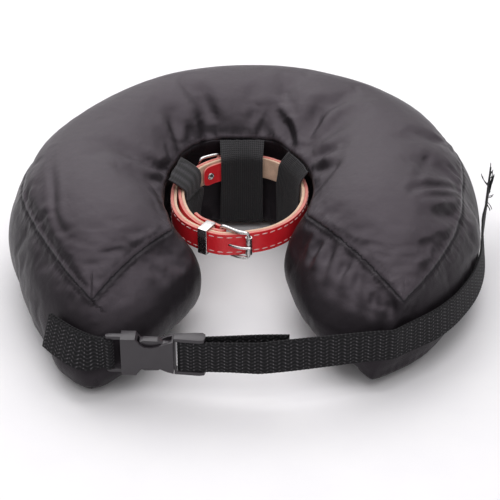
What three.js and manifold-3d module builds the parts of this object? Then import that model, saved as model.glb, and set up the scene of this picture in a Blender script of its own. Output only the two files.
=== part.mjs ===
// A padded recovery collar for a dog: a stuffed C of black cloth that lies round the neck, three elastic
// bands in its neck hole that carry a red leather dog collar, and a webbing strap with a side-release
// buckle that closes the C in front. It lies flat, with the opening of the C towards -Y.
// Sizes are in millimetres and angles in degrees, and +Z is up.
import * as THREE from "three";
import { mergeVertices } from "three/addons/utils/BufferGeometryUtils.js";
import Module from "manifold-3d";

const wasm = await Module();
wasm.setup();

// Gaps between pieces
const seatGap = 0.3; // between two pieces that touch on the real collar
const sewnGap = 0.3; // between a sewn strip and the cloth below it

// Cushion
const outerRadius = 167; // of the outer top seam
const neckRadius = 61; // of the inner top seam
const neckCentreX = -6.5; // of the neck hole, from the centre of the outer seam
const neckCentreY = 28;
const seamHeight = 86; // of the top seams at the back
const footHeight = 8; // of the bottom seams above the floor
const crownHeight = 28; // how far the top panel rises above its seams
const wallBulge = 17; // how far the outer wall swells past its seams
const leftEndBulge = 30; // how far each end face swells past its seams
const rightEndBulge = 34;
const neckRecess = 6; // how far the neck wall is drawn in behind its seams
const endArch = 6; // how far the end seams arch over the straight line between their corners
const endRounding = 70; // length over which the top panel comes down to its end seam
const crownFullness = 0.55; // powers of the sine that the top panel and the walls are rounded by: a small
const wallFullness = 0.8; // one gives a full, flat-topped bulge
const wallSag = 0.85; // under 1 it puts the wall's fullest place below the middle
const foldStart = 0.14; // share of the panel over which a fold grows
const foldFade = 0.2; // and over which it dies out

// Leather dog collar
const ringClearance = 3.7; // from the neck seam's narrowest place to the middle of the strap's thickness
const ringFront = 10; // how much further the ring reaches in front than at its sides
const ringBack = 3.5; // how much further it reaches at the back
const leatherThickness = 2.2;
const liningThickness = 2.1;
const leatherWidth = 18;
const leatherBottom = 57; // height of the strap's lower edge
const buckleWire = 3; // diameter of the buckle's frame
const buckleLength = 18; // from heel bar to roller bar
const rollerWall = 0.9;
const prongWire = 2.2;
const keeperWall = 1.2;
const keeperWidth = 8; // along the strap
const keeperSlack = 0.5; // room for the strap's bend inside the keeper
const prongOverhang = 1.2; // of the prong's tip past the middle of the roller
const flapSettle = 0.4; // how far the flap's end dips inwards from the keeper
const flapRise = 0.2; // how far its rivet stands outwards from the keeper
const rivetRadius = 1.6;
const rivetHeadRadius = 3.4;
const rivetHeadHeight = 0.9;
const ringWire = 2.6; // diameter of the leash ring's wire
const ringDepth = 24; // from its straight bar to the far side of its bow
const ringHeight = 25; // along the straight bar, over the wire
const ringCorner = 1.6; // of the wire at the ends of the straight bar
const ringBow = 0.5; // depth of the bow as a share of half the ring's height
const ringSlant = 2; // degrees that the ring's bow is turned in towards the strap
const tabThickness = 1.8; // of the leather tab that holds the ring
const tabWidth = 17;
const tabDrop = 1.2; // how far the tab hangs below the middle of the strap
const slitSlack = 1.5; // on each side of the tab in the slit that it passes

// Elastic bands
const bandThickness = 1.3;
const bandWidth = 35;

// Webbing strap
const webWidth = 25;
const webThickness = 1.6;
const webHeight = 41; // of its middle above the floor
const webFront = 141.5; // how far the strap stands in front of the outer centre between the lobes
const webFrontX = 8; // where it stands furthest forward
const webLean = 4; // how far its top edge lies behind its bottom edge there
const webStand = 2.25; // between the cushion's solid and the strap's inner face
const webTail = 75; // doubled back behind the strap at the buckle
const tailStand = 2.1; // how far the tail's end stands in, as a share of the distance at the bar
const frontHold = 54; // length beside the clip where the front layer stands off the taut line
const frontSettle = 90; // and over which it comes back to it
const looseEnd = 74; // of the strap that stands off the cushion
const looseBend = 6.4; // length before it where the strap has left the cushion
const looseFlare = 6.5; // degrees that it turns away from the cushion
const anchorReach = 40; // sewn stretch of the short strap round the left lobe

// Side-release buckle
const clipOffset = 17; // from the place where the strap leaves the left lobe to the socket's bar
const clipWidth = 31;
const clipThickness = 11;
const socketLength = 37;
const socketWall = 2.2;
const barThickness = 4;
const slotLength = 7; // clear length of the slots that the webbing passes
const frameLength = 22.5; // of the plug's frame outside the socket
const railWidth = 2.6;
const railThickness = 9.9; // of the plug's side rails, where they are thickest
const lightSlit = 2.5; // open between the socket's mouth and the webbing on the plug
const plateLength = 1.6; // of the plug's base plate outside the mouth
const plateInset = 0.5; // of its edges from the sides of the clip
const shoulderLength = 2; // of the plug's shoulder inside the mouth
const shoulderWidth = 0.84; // as a share of the room inside the socket
const gripBarRadius = 1.7; // of the bar at the plug's end
const gripBarInset = 3.5; // of its middle from that end
const barInset = 0.2; // of the round bars' ends in the rails
const overlap = 1; // by which joined shapes reach into each other and cutters past what they cut

const leatherTotal = leatherThickness + liningThickness + seatGap;
const leatherMiddle = leatherBottom + leatherWidth / 2;
const up = new THREE.Vector3(0, 0, 1);

// The cushion's sections, from the left end of the C round the back to the right end. turn and reach place
// the outer seam about the outer centre, as degrees and as a share of outerRadius, and footTurn and footReach
// place the bottom seam below it the same way. neckTurn and neckReach place the inner seam about the neck's
// centre, as a share of neckRadius. seam and neckSeam are the seams' heights as shares of seamHeight, crown
// is a share of crownHeight, bulge a share of wallBulge and recess a share of neckRecess.
const sections = [
  { turn: 225.5, reach: 0.95, footTurn: 230.5, footReach: 1.06, neckTurn: 237, neckReach: 1.46,
    seam: 0.79, neckSeam: 1.0, crown: 0.75, bulge: 0.5, recess: -2.9 },
  { turn: 216, reach: 0.95, footTurn: 218, footReach: 1.05, neckTurn: 225, neckReach: 1.24,
    seam: 0.88, neckSeam: 1.0, crown: 0.88, bulge: 0.6, recess: -1.5 },
  { turn: 206, reach: 0.955, footTurn: 205, footReach: 1.03, neckTurn: 208, neckReach: 1.07,
    seam: 0.94, neckSeam: 1.0, crown: 0.95, bulge: 0.75, recess: -0.2 },
  { turn: 193, reach: 0.985, footTurn: 192, footReach: 1.005, neckTurn: 192, neckReach: 0.96,
    seam: 0.98, neckSeam: 1.0, crown: 1.0, bulge: 0.85, recess: 0.8 },
  { turn: 178, reach: 1.045, footTurn: 178, footReach: 1.03, neckTurn: 176, neckReach: 0.91,
    seam: 1.0, neckSeam: 1.0, crown: 1.0, bulge: 0.85, recess: 1.2 },
  { turn: 160, reach: 1.075, footTurn: 160, footReach: 1.055, neckTurn: 158, neckReach: 0.9,
    seam: 1.01, neckSeam: 1.0, crown: 1.0, bulge: 0.75, recess: 1.2 },
  { turn: 140, reach: 1.07, footTurn: 140, footReach: 1.06, neckTurn: 138, neckReach: 0.98,
    seam: 1.03, neckSeam: 1.0, crown: 1.05, bulge: 0.7, recess: 0.8 },
  { turn: 116, reach: 1.1, footTurn: 116, footReach: 1.085, neckTurn: 115, neckReach: 1.05,
    seam: 1.05, neckSeam: 1.0, crown: 1.1, bulge: 0.7, recess: 0.6 },
  { turn: 92, reach: 1.13, footTurn: 92, footReach: 1.11, neckTurn: 90, neckReach: 1.0,
    seam: 1.05, neckSeam: 1.0, crown: 1.1, bulge: 0.7, recess: 0.6 },
  { turn: 68, reach: 1.125, footTurn: 68, footReach: 1.105, neckTurn: 65, neckReach: 1.05,
    seam: 1.05, neckSeam: 1.0, crown: 1.1, bulge: 0.7, recess: 0.6 },
  { turn: 44, reach: 1.13, footTurn: 44, footReach: 1.105, neckTurn: 40, neckReach: 0.92,
    seam: 1.03, neckSeam: 1.0, crown: 1.05, bulge: 0.75, recess: 1.0 },
  { turn: 20, reach: 1.07, footTurn: 20, footReach: 1.055, neckTurn: 18, neckReach: 0.9,
    seam: 1.01, neckSeam: 1.0, crown: 1.0, bulge: 0.85, recess: 1.0 },
  { turn: 0, reach: 0.985, footTurn: 0, footReach: 1, neckTurn: -2, neckReach: 0.91,
    seam: 1.0, neckSeam: 1.0, crown: 1.0, bulge: 0.9, recess: 0.8 },
  { turn: -16, reach: 0.965, footTurn: -18, footReach: 0.99, neckTurn: -18, neckReach: 0.96,
    seam: 0.96, neckSeam: 1.0, crown: 0.97, bulge: 0.75, recess: 0.2 },
  { turn: -32, reach: 0.95, footTurn: -38, footReach: 0.98, neckTurn: -33, neckReach: 1.05,
    seam: 0.88, neckSeam: 1.0, crown: 0.9, bulge: 0.45, recess: -0.9 },
  { turn: -46, reach: 0.955, footTurn: -56, footReach: 0.95, neckTurn: -47.5, neckReach: 1.2,
    seam: 0.79, neckSeam: 1.0, crown: 0.8, bulge: 0.2, recess: -2.9 },
];

// The folds that show in the top panel. turn is where a fold meets the neck seam, lean is how far it swings
// as it runs outwards, both in degrees. from and to are shares of the panel from the neck seam to the outer
// seam, width and depth are shares of crownHeight.
const folds = [
  { turn: 197, lean: -16, from: -0.1, to: 0.34, width: 0.3, depth: 0.18 },
  { turn: 178, lean: -20, from: -0.1, to: 0.45, width: 0.28, depth: 0.2 },
  { turn: 128, lean: 10, from: -0.1, to: 0.4, width: 0.24, depth: 0.14 },
  { turn: 108, lean: 6, from: -0.1, to: 0.62, width: 0.24, depth: 0.17 },
  { turn: 84, lean: -4, from: -0.1, to: 0.5, width: 0.22, depth: 0.14 },
  { turn: 68, lean: 6, from: -0.1, to: 0.62, width: 0.24, depth: 0.2 },
  { turn: 50, lean: -10, from: -0.1, to: 0.66, width: 0.24, depth: 0.2 },
  { turn: 30, lean: 14, from: -0.1, to: 0.52, width: 0.28, depth: 0.2 },
  { turn: 8, lean: 10, from: 0.5, to: 0.98, width: 0.24, depth: 0.2 },
  { turn: -6, lean: 8, from: 0.62, to: 1.05, width: 0.24, depth: 0.16 },
];

// The strap's path from its tip round the neck to the buckle's heel bar: lift is how far it stands outside
// the ring, as a share of the strap's thickness. The tip's end lies over the buckle's end, and the strap
// dips under the roller.
const lapTable = [
  { turn: 164, lift: -0.02 },
  { turn: 176, lift: 0 },
  { turn: 190, lift: 0.15 },
  { turn: 208, lift: 0.55 },
  { turn: 226, lift: 0.85 },
  { turn: 246, lift: 0.74 },
  { turn: 256, lift: 0.78 },
  { turn: 265, lift: 0.48 },
  { turn: 277, lift: 0.02 },
  { turn: 292, lift: 0 },
  { turn: 440, lift: 0 },
  { turn: 464, lift: -0.5 },
  { turn: 484, lift: -0.85 },
  { turn: 505, lift: -1.02 },
  { turn: 525, lift: -1.1 },
  { turn: 546, lift: -1.1 },
  { turn: 566, lift: -1.0 },
  { turn: 588, lift: -0.65 },
  { turn: 606, lift: -0.36 },
  { turn: 616, lift: -0.3 },
];
const heelTurn = 256; // of the buckle's heel bar
const keeperTurn = 246;
const flapRivetTurn = 233;
const flapEndTurn = 225;
const slitTurn = 103.5; // where the ring's tab passes through the strap
const slitLean = 6; // degrees that the strap's inward bend turns it there
const tabEndTurn = 130.5;
const tabRivetTurn = 122;
const outerTabEndTurn = 127;

// inset is how far a band's inner stretch stands inside the strap's middle, as a share of its thickness.
const bands = [
  { name: "band_left", topTurn: 164, footTurn: 140, inset: 0.8 },
  { name: "band_centre", topTurn: 88.5, footTurn: 89, inset: 1.16 },
  { name: "band_right", topTurn: 27.5, footTurn: 42, inset: 0.8 },
];
const looseTurn = 7; // where the long strap leaves the cushion
const clipStandTurn = 236; // middle of the stretch where the clip holds the strap off the cushion
const clipStandSpread = 17;

// The ring's radius at its sides, to the middle of the strap's thickness.
const ringRadius = Math.min(...sections.map((s) => s.neckReach)) * neckRadius - ringClearance;

const cushionSteps = { along: 80, across: 14, wall: 6, reach: 3 }; // faces along and across the C, up its
// wall, and from a bottom seam to where the bottom panel lies on the floor

function radians(degrees) {
  return (degrees * Math.PI) / 180;
}

function mix(a, b, share) {
  return a + (b - a) * share;
}

function smooth(share) {
  const s = Math.min(1, Math.max(0, share));
  return s * s * (3 - 2 * s);
}

function bump(offset, width) {
  return Math.exp(-((offset / width) ** 2));
}

// A column of a table at any place between its rows, on a smooth curve. key is the column that x is read in.
function tableCurve(rows, key, column) {
  const points = rows.map((row) => new THREE.Vector2(row[key], row[column]));
  return (x) => {
    const rising = points[0].x < points[points.length - 1].x;
    let i = 0;
    while (i < points.length - 2 && (rising ? x > points[i + 1].x : x < points[i + 1].x)) i++;
    const at = (n) => points[Math.min(points.length - 1, Math.max(0, n))];
    const share = Math.min(1, Math.max(0, (x - at(i).x) / (at(i + 1).x - at(i).x)));
    const before = (at(i + 1).y - at(i - 1).y) / 2;
    const after = (at(i + 2).y - at(i).y) / 2;
    const s2 = share * share;
    const s3 = s2 * share;
    return (
      (2 * s3 - 3 * s2 + 1) * at(i).y + (s3 - 2 * s2 + share) * before +
      (3 * s2 - 2 * s3) * at(i + 1).y + (s3 - s2) * after
    );
  };
}

// Geometry from points and triangles, turned to face outwards.
function solidGeometry(points, triangles) {
  let volume = 0;
  for (const [a, b, c] of triangles) {
    volume += points[a].dot(new THREE.Vector3().crossVectors(points[b], points[c]));
  }
  const facing = volume < 0 ? triangles.map(([a, b, c]) => [a, c, b]) : triangles;
  const geometry = new THREE.BufferGeometry();
  const places = points.flatMap((p) => [p.x, p.y, p.z]);
  geometry.setAttribute("position", new THREE.Float32BufferAttribute(places, 3));
  geometry.setIndex(facing.flat());
  geometry.computeVertexNormals();
  return geometry;
}

// A solid through rings with the same number of points, capped at both ends unless the rings form a loop.
function loft(rings, looped = false) {
  const sides = rings[0].length;
  const triangles = [];
  const spans = looped ? rings.length : rings.length - 1;
  for (let i = 0; i < spans; i++) {
    const next = ((i + 1) % rings.length) * sides;
    for (let j = 0; j < sides; j++) {
      const k = (j + 1) % sides;
      triangles.push([i * sides + j, i * sides + k, next + k], [i * sides + j, next + k, next + j]);
    }
  }
  if (!looped) {
    const last = (rings.length - 1) * sides;
    for (let j = 1; j < sides - 1; j++) triangles.push([0, j + 1, j], [last, last + j, last + j + 1]);
  }
  return solidGeometry(rings.flat(), triangles);
}

// A round wire along a line of points.
function wire(points, radius, sides = 8, looped = false) {
  const count = points.length;
  let side = null;
  const rings = points.map((p, i) => {
    const before = points[looped ? (i - 1 + count) % count : Math.max(0, i - 1)];
    const after = points[looped ? (i + 1) % count : Math.min(count - 1, i + 1)];
    const along = after.clone().sub(before).normalize();
    if (!side) side = Math.abs(along.z) > 0.9 ? new THREE.Vector3(1, 0, 0) : up.clone();
    side = side.clone().addScaledVector(along, -side.dot(along)).normalize();
    const other = new THREE.Vector3().crossVectors(along, side);
    return Array.from({ length: sides }, (_, k) => {
      const angle = ((k + 0.5) / sides) * 2 * Math.PI;
      const out = p.clone().addScaledVector(side, radius * Math.cos(angle));
      return out.addScaledVector(other, radius * Math.sin(angle));
    });
  });
  return loft(rings, looped);
}

// A flat strip that stands on edge along a plan line: its thickness lies across the line, its width upright.
// Where the line's points carry a z, it is how far the top edge lies to the right of the bottom edge.
function strip(line, thickness, bottom, width) {
  const rings = line.map((p, i) => {
    const before = line[Math.max(0, i - 1)];
    const after = line[Math.min(line.length - 1, i + 1)];
    const along = new THREE.Vector2(after.x - before.x, after.y - before.y).normalize();
    const side = new THREE.Vector3(-along.y, along.x, 0);
    const half = (thickness / 2) * stripCorner(line, i, along);
    const lean = (p.z ?? 0) / 2;
    return [
      [-half, 0],
      [half, 0],
      [half, 1],
      [-half, 1],
    ].map(([out, top]) => new THREE.Vector3(p.x, p.y, bottom + width * top)
      .addScaledVector(side, out + (top ? -lean : lean)));
  });
  return loft(rings);
}

// Keeps a strip's thickness where its line turns.
function stripCorner(line, i, along) {
  if (i === 0 || i === line.length - 1) return 1;
  const leg = new THREE.Vector2(line[i + 1].x - line[i].x, line[i + 1].y - line[i].y).normalize();
  return 1 / Math.max(0.6, leg.dot(along));
}

function bareGeometry(geometry) {
  const bare = geometry.index ? geometry.clone() : mergeVertices(geometry.clone());
  bare.deleteAttribute("normal");
  bare.deleteAttribute("uv");
  return mergeVertices(bare, 1e-4);
}

function toSolid(geometry) {
  const merged = bareGeometry(geometry);
  return new wasm.Manifold(
    new wasm.Mesh({
      numProp: 3,
      vertProperties: merged.attributes.position.array,
      triVerts: new Uint32Array(merged.index.array),
    }),
  );
}

function toGeometry(solid) {
  const mesh = solid.getMesh();
  const geometry = new THREE.BufferGeometry();
  geometry.setAttribute("position", new THREE.BufferAttribute(new Float32Array(mesh.vertProperties), 3));
  geometry.setIndex(new THREE.BufferAttribute(new Uint32Array(mesh.triVerts), 1));
  geometry.computeVertexNormals();
  return geometry;
}

// The geometry with the cutters taken out and the additions joined on.
function shaped(geometry, { less = [], plus = [] } = {}) {
  let solid = toSolid(geometry);
  for (const part of plus) solid = solid.add(toSolid(part));
  for (const cutter of less) solid = solid.subtract(toSolid(cutter));
  return toGeometry(solid);
}

function box(low, high) {
  const size = new THREE.Vector3().subVectors(high, low);
  const geometry = new THREE.BoxGeometry(size.x, size.y, size.z);
  return geometry.translate((low.x + high.x) / 2, (low.y + high.y) / 2, (low.z + high.z) / 2);
}

// The top seams of the cushion at a share of the way from its left end to its right end.
function seamsAt(share) {
  return { inner: innerSeam.getPoint(share), outer: outerSeam.getPoint(share) };
}

function polar(centreX, centreY, turn, radius, z) {
  return new THREE.Vector3(
    centreX + radius * Math.cos(radians(turn)),
    centreY + radius * Math.sin(radians(turn)),
    z,
  );
}

const outerSeam = new THREE.CatmullRomCurve3(
  sections.map((s) => polar(0, 0, s.turn, s.reach * outerRadius, s.seam * seamHeight)),
);
const footSeam = new THREE.CatmullRomCurve3(
  sections.map((s) => polar(0, 0, s.footTurn, s.footReach * outerRadius, footHeight)),
);
const innerSeam = new THREE.CatmullRomCurve3(
  sections.map((s) => {
    const height = s.neckSeam * seamHeight;
    return polar(neckCentreX, neckCentreY, s.neckTurn, s.neckReach * neckRadius, height);
  }),
);
const sectionRows = sections.map((s, i) => ({ ...s, share: i / (sections.length - 1) }));
const crownAt = tableCurve(sectionRows, "share", "crown");
const bulgeAt = tableCurve(sectionRows, "share", "bulge");
const recessAt = tableCurve(sectionRows, "share", "recess");
const neckTurnAt = tableCurve(sectionRows, "share", "neckTurn");

function foldDepth(share, across) {
  let depth = 0;
  for (const fold of folds) {
    const middle = fold.turn + fold.lean * across;
    const offset = radians(neckTurnAt(share) - middle) * mix(neckRadius, outerRadius, across);
    const window = smooth((across - fold.from) / foldStart) * smooth((fold.to - across) / foldFade);
    depth += fold.depth * crownHeight * bump(offset, fold.width * crownHeight) * window;
  }
  return depth;
}

// The cushion as a closed skin: a top panel and a bottom panel over the same C, joined by a wall that
// swells between their seams all the way round.
function buildCushion() {
  const { along, across, wall, reach } = cushionSteps;
  const points = [];
  const triangles = [];
  const add = (p) => points.push(p) - 1;
  const top = [];
  const bottom = [];
  const centreLine = new THREE.CatmullRomCurve3(
    sections.map((_, i) => {
      const { inner, outer } = seamsAt(i / (sections.length - 1));
      return inner.lerp(outer, 0.5);
    }),
  );
  const length = centreLine.getLength();

  for (let i = 0; i <= along; i++) {
    const share = i / along;
    const { inner, outer } = seamsAt(share);
    const fromEnd = Math.min(share, 1 - share) * length;
    const round = Math.sqrt(Math.max(0, 1 - (1 - Math.min(1, fromEnd / endRounding)) ** 2));
    top.push([]);
    bottom.push([]);
    for (let j = 0; j <= across; j++) {
      const u = j / across;
      const base = inner.clone().lerp(outer, u);
      const arch = Math.sin(Math.PI * u) ** crownFullness * round;
      base.z += endArch * Math.sin(Math.PI * u) * (1 - round);
      const onSeam = i === 0 || i === along || j === 0 || j === across;
      const dent = onSeam ? 0 : foldDepth(share, u) * Math.min(1, 2 * round);
      const rise = crownAt(share) * crownHeight * arch;
      top[i].push(add(new THREE.Vector3(base.x, base.y, base.z + rise - dent)));
      const fromEdge = Math.min(i, along - i, j, across - j) / reach;
      const foot = inner.clone().lerp(footSeam.getPoint(share), u);
      foot.z = footHeight * Math.max(0, 1 - fromEdge) ** 2;
      bottom[i].push(add(foot));
    }
  }
  for (let i = 0; i < along; i++) {
    for (let j = 0; j < across; j++) {
      for (const grid of [top, bottom]) {
        const quad = [grid[i][j], grid[i + 1][j], grid[i + 1][j + 1], grid[i][j + 1]];
        if (grid === bottom) quad.reverse();
        triangles.push([quad[0], quad[1], quad[2]], [quad[0], quad[2], quad[3]]);
      }
    }
  }

  // The seam loop runs along the outer edge, over the right end, back along the neck and over the left end.
  const loop = [];
  for (let i = 0; i < along; i++) loop.push({ i, j: across, swell: wallBulge * bulgeAt(i / along) });
  for (let j = across; j > 0; j--) loop.push({ i: along, j, swell: endSwell(1, j / across, rightEndBulge) });
  for (let i = along; i > 0; i--) loop.push({ i, j: 0, swell: -neckRecess * recessAt(i / along) });
  for (let j = 0; j < across; j++) loop.push({ i: 0, j, swell: endSwell(0, j / across, leftEndBulge) });
  const rows = loop.map((seam, k) => {
    const high = points[top[seam.i][seam.j]];
    const low = points[bottom[seam.i][seam.j]];
    const before = loop[(k - 1 + loop.length) % loop.length];
    const after = loop[(k + 1) % loop.length];
    const travel = points[top[after.i][after.j]].clone().sub(points[top[before.i][before.j]]);
    const outwards = new THREE.Vector3(-travel.y, travel.x, 0).normalize();
    const column = [bottom[seam.i][seam.j]];
    for (let r = 1; r < wall; r++) {
      const f = r / wall;
      const swell = seam.swell * Math.sin(Math.PI * f ** wallSag) ** wallFullness;
      column.push(add(low.clone().lerp(high, f).addScaledVector(outwards, swell)));
    }
    column.push(top[seam.i][seam.j]);
    return column;
  });
  rows.forEach((column, k) => {
    const next = rows[(k + 1) % rows.length];
    for (let r = 0; r < wall; r++) {
      triangles.push([column[r], column[r + 1], next[r + 1]], [column[r], next[r + 1], next[r]]);
    }
  });
  const outline = rows.map((column) => webbingPlace(column.map((n) => points[n])));
  return { geometry: solidGeometry(points, triangles), outline };
}

// Where the strap lies on one upright line of the wall: x and y between the places at its two edges, and z
// the lean between them.
function webbingPlace(column) {
  const reachAt = (z) => {
    const i = Math.max(1, column.findIndex((p) => p.z > z));
    return column[i - 1].clone().lerp(column[i], (z - column[i - 1].z) / (column[i].z - column[i - 1].z));
  };
  const middle = reachAt(webHeight);
  const radii = [-1, 0, 1].map((edge) => {
    const p = reachAt(webHeight + (edge * webWidth) / 2);
    return Math.hypot(p.x, p.y);
  });
  const [low, half, high] = radii;
  const lean = Math.min(webWidth / 2, Math.max(0, low - high));
  const scale = Math.max(half, low - lean / 2, high + lean / 2) / half;
  return new THREE.Vector3(middle.x * scale, middle.y * scale, lean);
}

function endSwell(share, across, endBulge) {
  const corners = mix(-neckRecess * recessAt(share), wallBulge * bulgeAt(share), across);
  return corners + (endBulge - corners) * Math.sin(Math.PI * across) ** wallFullness;
}

// The line that a taut strap takes round a plan outline: its convex hull, turning clockwise.
function tautLine(outline) {
  const sorted = [...outline].sort((a, b) => a.x - b.x || a.y - b.y);
  const cross = (o, a, b) => (a.x - o.x) * (b.y - o.y) - (a.y - o.y) * (b.x - o.x);
  const half = (list) => {
    const chain = [];
    for (const p of list) {
      while (chain.length > 1 && cross(chain[chain.length - 2], chain[chain.length - 1], p) >= 0) chain.pop();
      chain.push(p);
    }
    return chain.slice(0, -1);
  };
  return [...half(sorted), ...half(sorted.reverse())];
}

function turnOf(p) {
  return (THREE.MathUtils.radToDeg(Math.atan2(p.y, p.x)) + 360) % 360;
}

// The strap's plan line, from the loose end on the right, clockwise round the front to the left lobe. The z
// of its points is the strap's lean.
function strapLine(outline) {
  const standing = outline.map((p) => {
    const clip = bump(turnOf(p) - clipStandTurn, clipStandSpread);
    const clear = webStand + mix(webThickness, clipThickness / 2, clip);
    const away = new THREE.Vector3(p.x, p.y, 0).setLength(clear);
    return away.add(p);
  });
  const hull = tautLine([...standing, new THREE.Vector3(webFrontX, -webFront, webLean)]);
  const start = hull.reduce((best, p, i) => {
    const off = Math.abs(((turnOf(p) - looseTurn + 540) % 360) - 180);
    return off < best.off ? { off, i } : best;
  }, { off: Infinity, i: 0 }).i;
  const line = [...hull.slice(start), ...hull.slice(0, start)];
  const behind = line[0].clone().sub(line[1]).setZ(0).normalize();
  const flare = behind.clone().applyAxisAngle(up, radians(-looseFlare)).setZ(0);
  const bend = line[0].clone().addScaledVector(behind, looseBend);
  return [bend.clone().addScaledVector(flare, looseEnd), bend, ...line];
}

function lengthOf(line) {
  return line.slice(1).reduce((sum, p, i) => sum + p.distanceTo(line[i]), 0);
}

// The part of a plan line between two distances from its start.
function cut(line, from, to) {
  const kept = [];
  let run = 0;
  for (let i = 1; i < line.length; i++) {
    const step = line[i].distanceTo(line[i - 1]);
    const at = (distance) => line[i - 1].clone().lerp(line[i], (distance - run) / step);
    if (from >= run && from < run + step) kept.push(at(from));
    if (run + step > from && run + step < to) kept.push(line[i].clone());
    if (to > run && to <= run + step) kept.push(at(to));
    run += step;
  }
  return kept;
}

// The same line with points at most a step apart.
function stepped(line, step) {
  return line.flatMap((p, i) => {
    const parts = i ? Math.ceil(p.distanceTo(line[i - 1]) / step) : 1;
    const part = (k) => (i ? line[i - 1].clone().lerp(p, (k + 1) / parts) : p.clone());
    return Array.from({ length: parts }, (_, k) => part(k));
  });
}

function sideways(line, distance) {
  return line.map((p, i) => {
    const before = line[Math.max(0, i - 1)];
    const after = line[Math.min(line.length - 1, i + 1)];
    const along = new THREE.Vector2(after.x - before.x, after.y - before.y).normalize();
    return new THREE.Vector3(p.x - along.y * distance, p.y + along.x * distance, p.z);
  });
}

function arcPoints(centre, radius, from, to, steps) {
  return Array.from({ length: steps + 1 }, (_, k) => {
    const angle = radians(mix(from, to, k / steps));
    return new THREE.Vector2(centre.x + radius * Math.cos(angle), centre.y + radius * Math.sin(angle));
  });
}

// A place on the leather ring, which is a little longer than it is wide: turn about the neck's centre,
// lift outwards from the middle of the strap.
function ringPlace(turn, lift, z = 0) {
  const rise = Math.sin(radians(turn));
  const reach = ringRadius + (rise > 0 ? ringBack : ringFront) * rise ** 2;
  return polar(neckCentreX, neckCentreY, turn, reach + lift, z);
}

// The direction across the ring at a turn, as a turn.
function acrossTurn(turn) {
  const along = ringPlace(turn + 1, 0).sub(ringPlace(turn - 1, 0));
  return THREE.MathUtils.radToDeg(Math.atan2(along.y, along.x)) - 90;
}

function flat(p) {
  return new THREE.Vector2(p.x, p.y);
}

const lapLift = tableCurve(lapTable, "turn", "lift");

function strapLift(turn) {
  return lapLift(turn) * (leatherTotal + seatGap);
}

// The inner lap's lift at a turn of the first round.
function innerLapLift(turn) {
  return strapLift(turn + 360);
}

function turnFor(length, lift = 0) {
  return THREE.MathUtils.radToDeg(length / (ringRadius + lift));
}

const leatherLift = (leatherTotal - leatherThickness) / 2;
const liningLift = -(leatherTotal - liningThickness) / 2;
const heelWrap = buckleWire / 2 + seatGap + leatherThickness / 2; // radius of the leather round the heel bar
const heelLift = innerLapLift(heelTurn) + leatherLift - heelWrap;
const rollerRadius = buckleWire / 2 + seatGap + rollerWall;
const rollerTurn = heelTurn + turnFor(buckleLength);
const rollerLift = strapLift(rollerTurn) + leatherTotal / 2 + seatGap + rollerRadius;
const firstTurn = lapTable[0].turn;
const lastTurn = heelTurn + 360;
const stepTurn = 5;

function ringLine(from, to, liftAt) {
  const steps = Math.max(1, Math.round(Math.abs(to - from) / stepTurn));
  return Array.from({ length: steps + 1 }, (_, k) => {
    const turn = mix(from, to, k / steps);
    return flat(ringPlace(turn, liftAt(turn)));
  });
}

// The flap of leather that comes back inside the strap from the heel bar, over the keeper to its rivet.
function flapLift(turn) {
  const belowKeeper = leatherTotal / 2 + keeperSlack + 4 * seatGap + keeperWall + leatherThickness / 2;
  const keeperInside = innerLapLift(keeperTurn) - belowKeeper;
  const rows = [
    { turn: flapEndTurn, lift: keeperInside - flapSettle },
    { turn: flapRivetTurn, lift: keeperInside + flapRise },
    { turn: keeperTurn, lift: keeperInside },
    { turn: heelTurn, lift: heelLift - heelWrap },
  ];
  return tableCurve(rows, "turn", "lift")(turn);
}

// A rivet through the strap: its shank runs from one lift to another, with a round head at each end.
function buildRivet(turn, from, to, z, grow = 0) {
  const profile = [
    [0, from - rivetHeadHeight - grow],
    [rivetHeadRadius * 0.6 + grow, from - rivetHeadHeight - grow],
    [rivetHeadRadius + grow, from],
    [rivetRadius + grow, from],
    [rivetRadius + grow, to],
    [rivetHeadRadius + grow, to],
    [rivetHeadRadius * 0.6 + grow, to + rivetHeadHeight + grow],
    [0, to + rivetHeadHeight + grow],
  ];
  const round = new THREE.LatheGeometry(profile.map(([r, y]) => new THREE.Vector2(r, y)), 12);
  const place = ringPlace(turn, 0, z);
  round.rotateZ(-Math.PI / 2);
  round.rotateZ(radians(acrossTurn(turn)));
  return round.translate(place.x, place.y, place.z);
}

// A straight round cutter across the strap.
function crossCutter(turn, radius, from, to, z) {
  const geometry = new THREE.CylinderGeometry(radius, radius, to - from, 10);
  geometry.rotateZ(-Math.PI / 2);
  geometry.translate((from + to) / 2, 0, 0);
  geometry.rotateZ(radians(acrossTurn(turn)));
  const place = ringPlace(turn, 0, z);
  return geometry.translate(place.x, place.y, place.z);
}

// The leather layer: from its tip round the neck to the heel bar, about the bar and back along the inside.
function buildLeather(cutters) {
  const outer = ringLine(firstTurn, lastTurn, (turn) => strapLift(turn) + leatherLift);
  const heel = flat(ringPlace(heelTurn, heelLift));
  const wrap = arcPoints(heel, heelWrap, heelTurn, heelTurn + 180, 8).slice(1, -1);
  const flap = ringLine(heelTurn, flapEndTurn, flapLift);
  const geometry = strip([...outer, ...wrap, ...flap], leatherThickness, leatherBottom, leatherWidth);
  return shaped(geometry, { less: cutters });
}

function buildLining(cutters) {
  const stop = lastTurn - turnFor(heelWrap + leatherThickness);
  const line = ringLine(firstTurn, stop, (turn) => strapLift(turn) + liningLift);
  return shaped(strip(line, liningThickness, leatherBottom, leatherWidth), { less: cutters });
}

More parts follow.
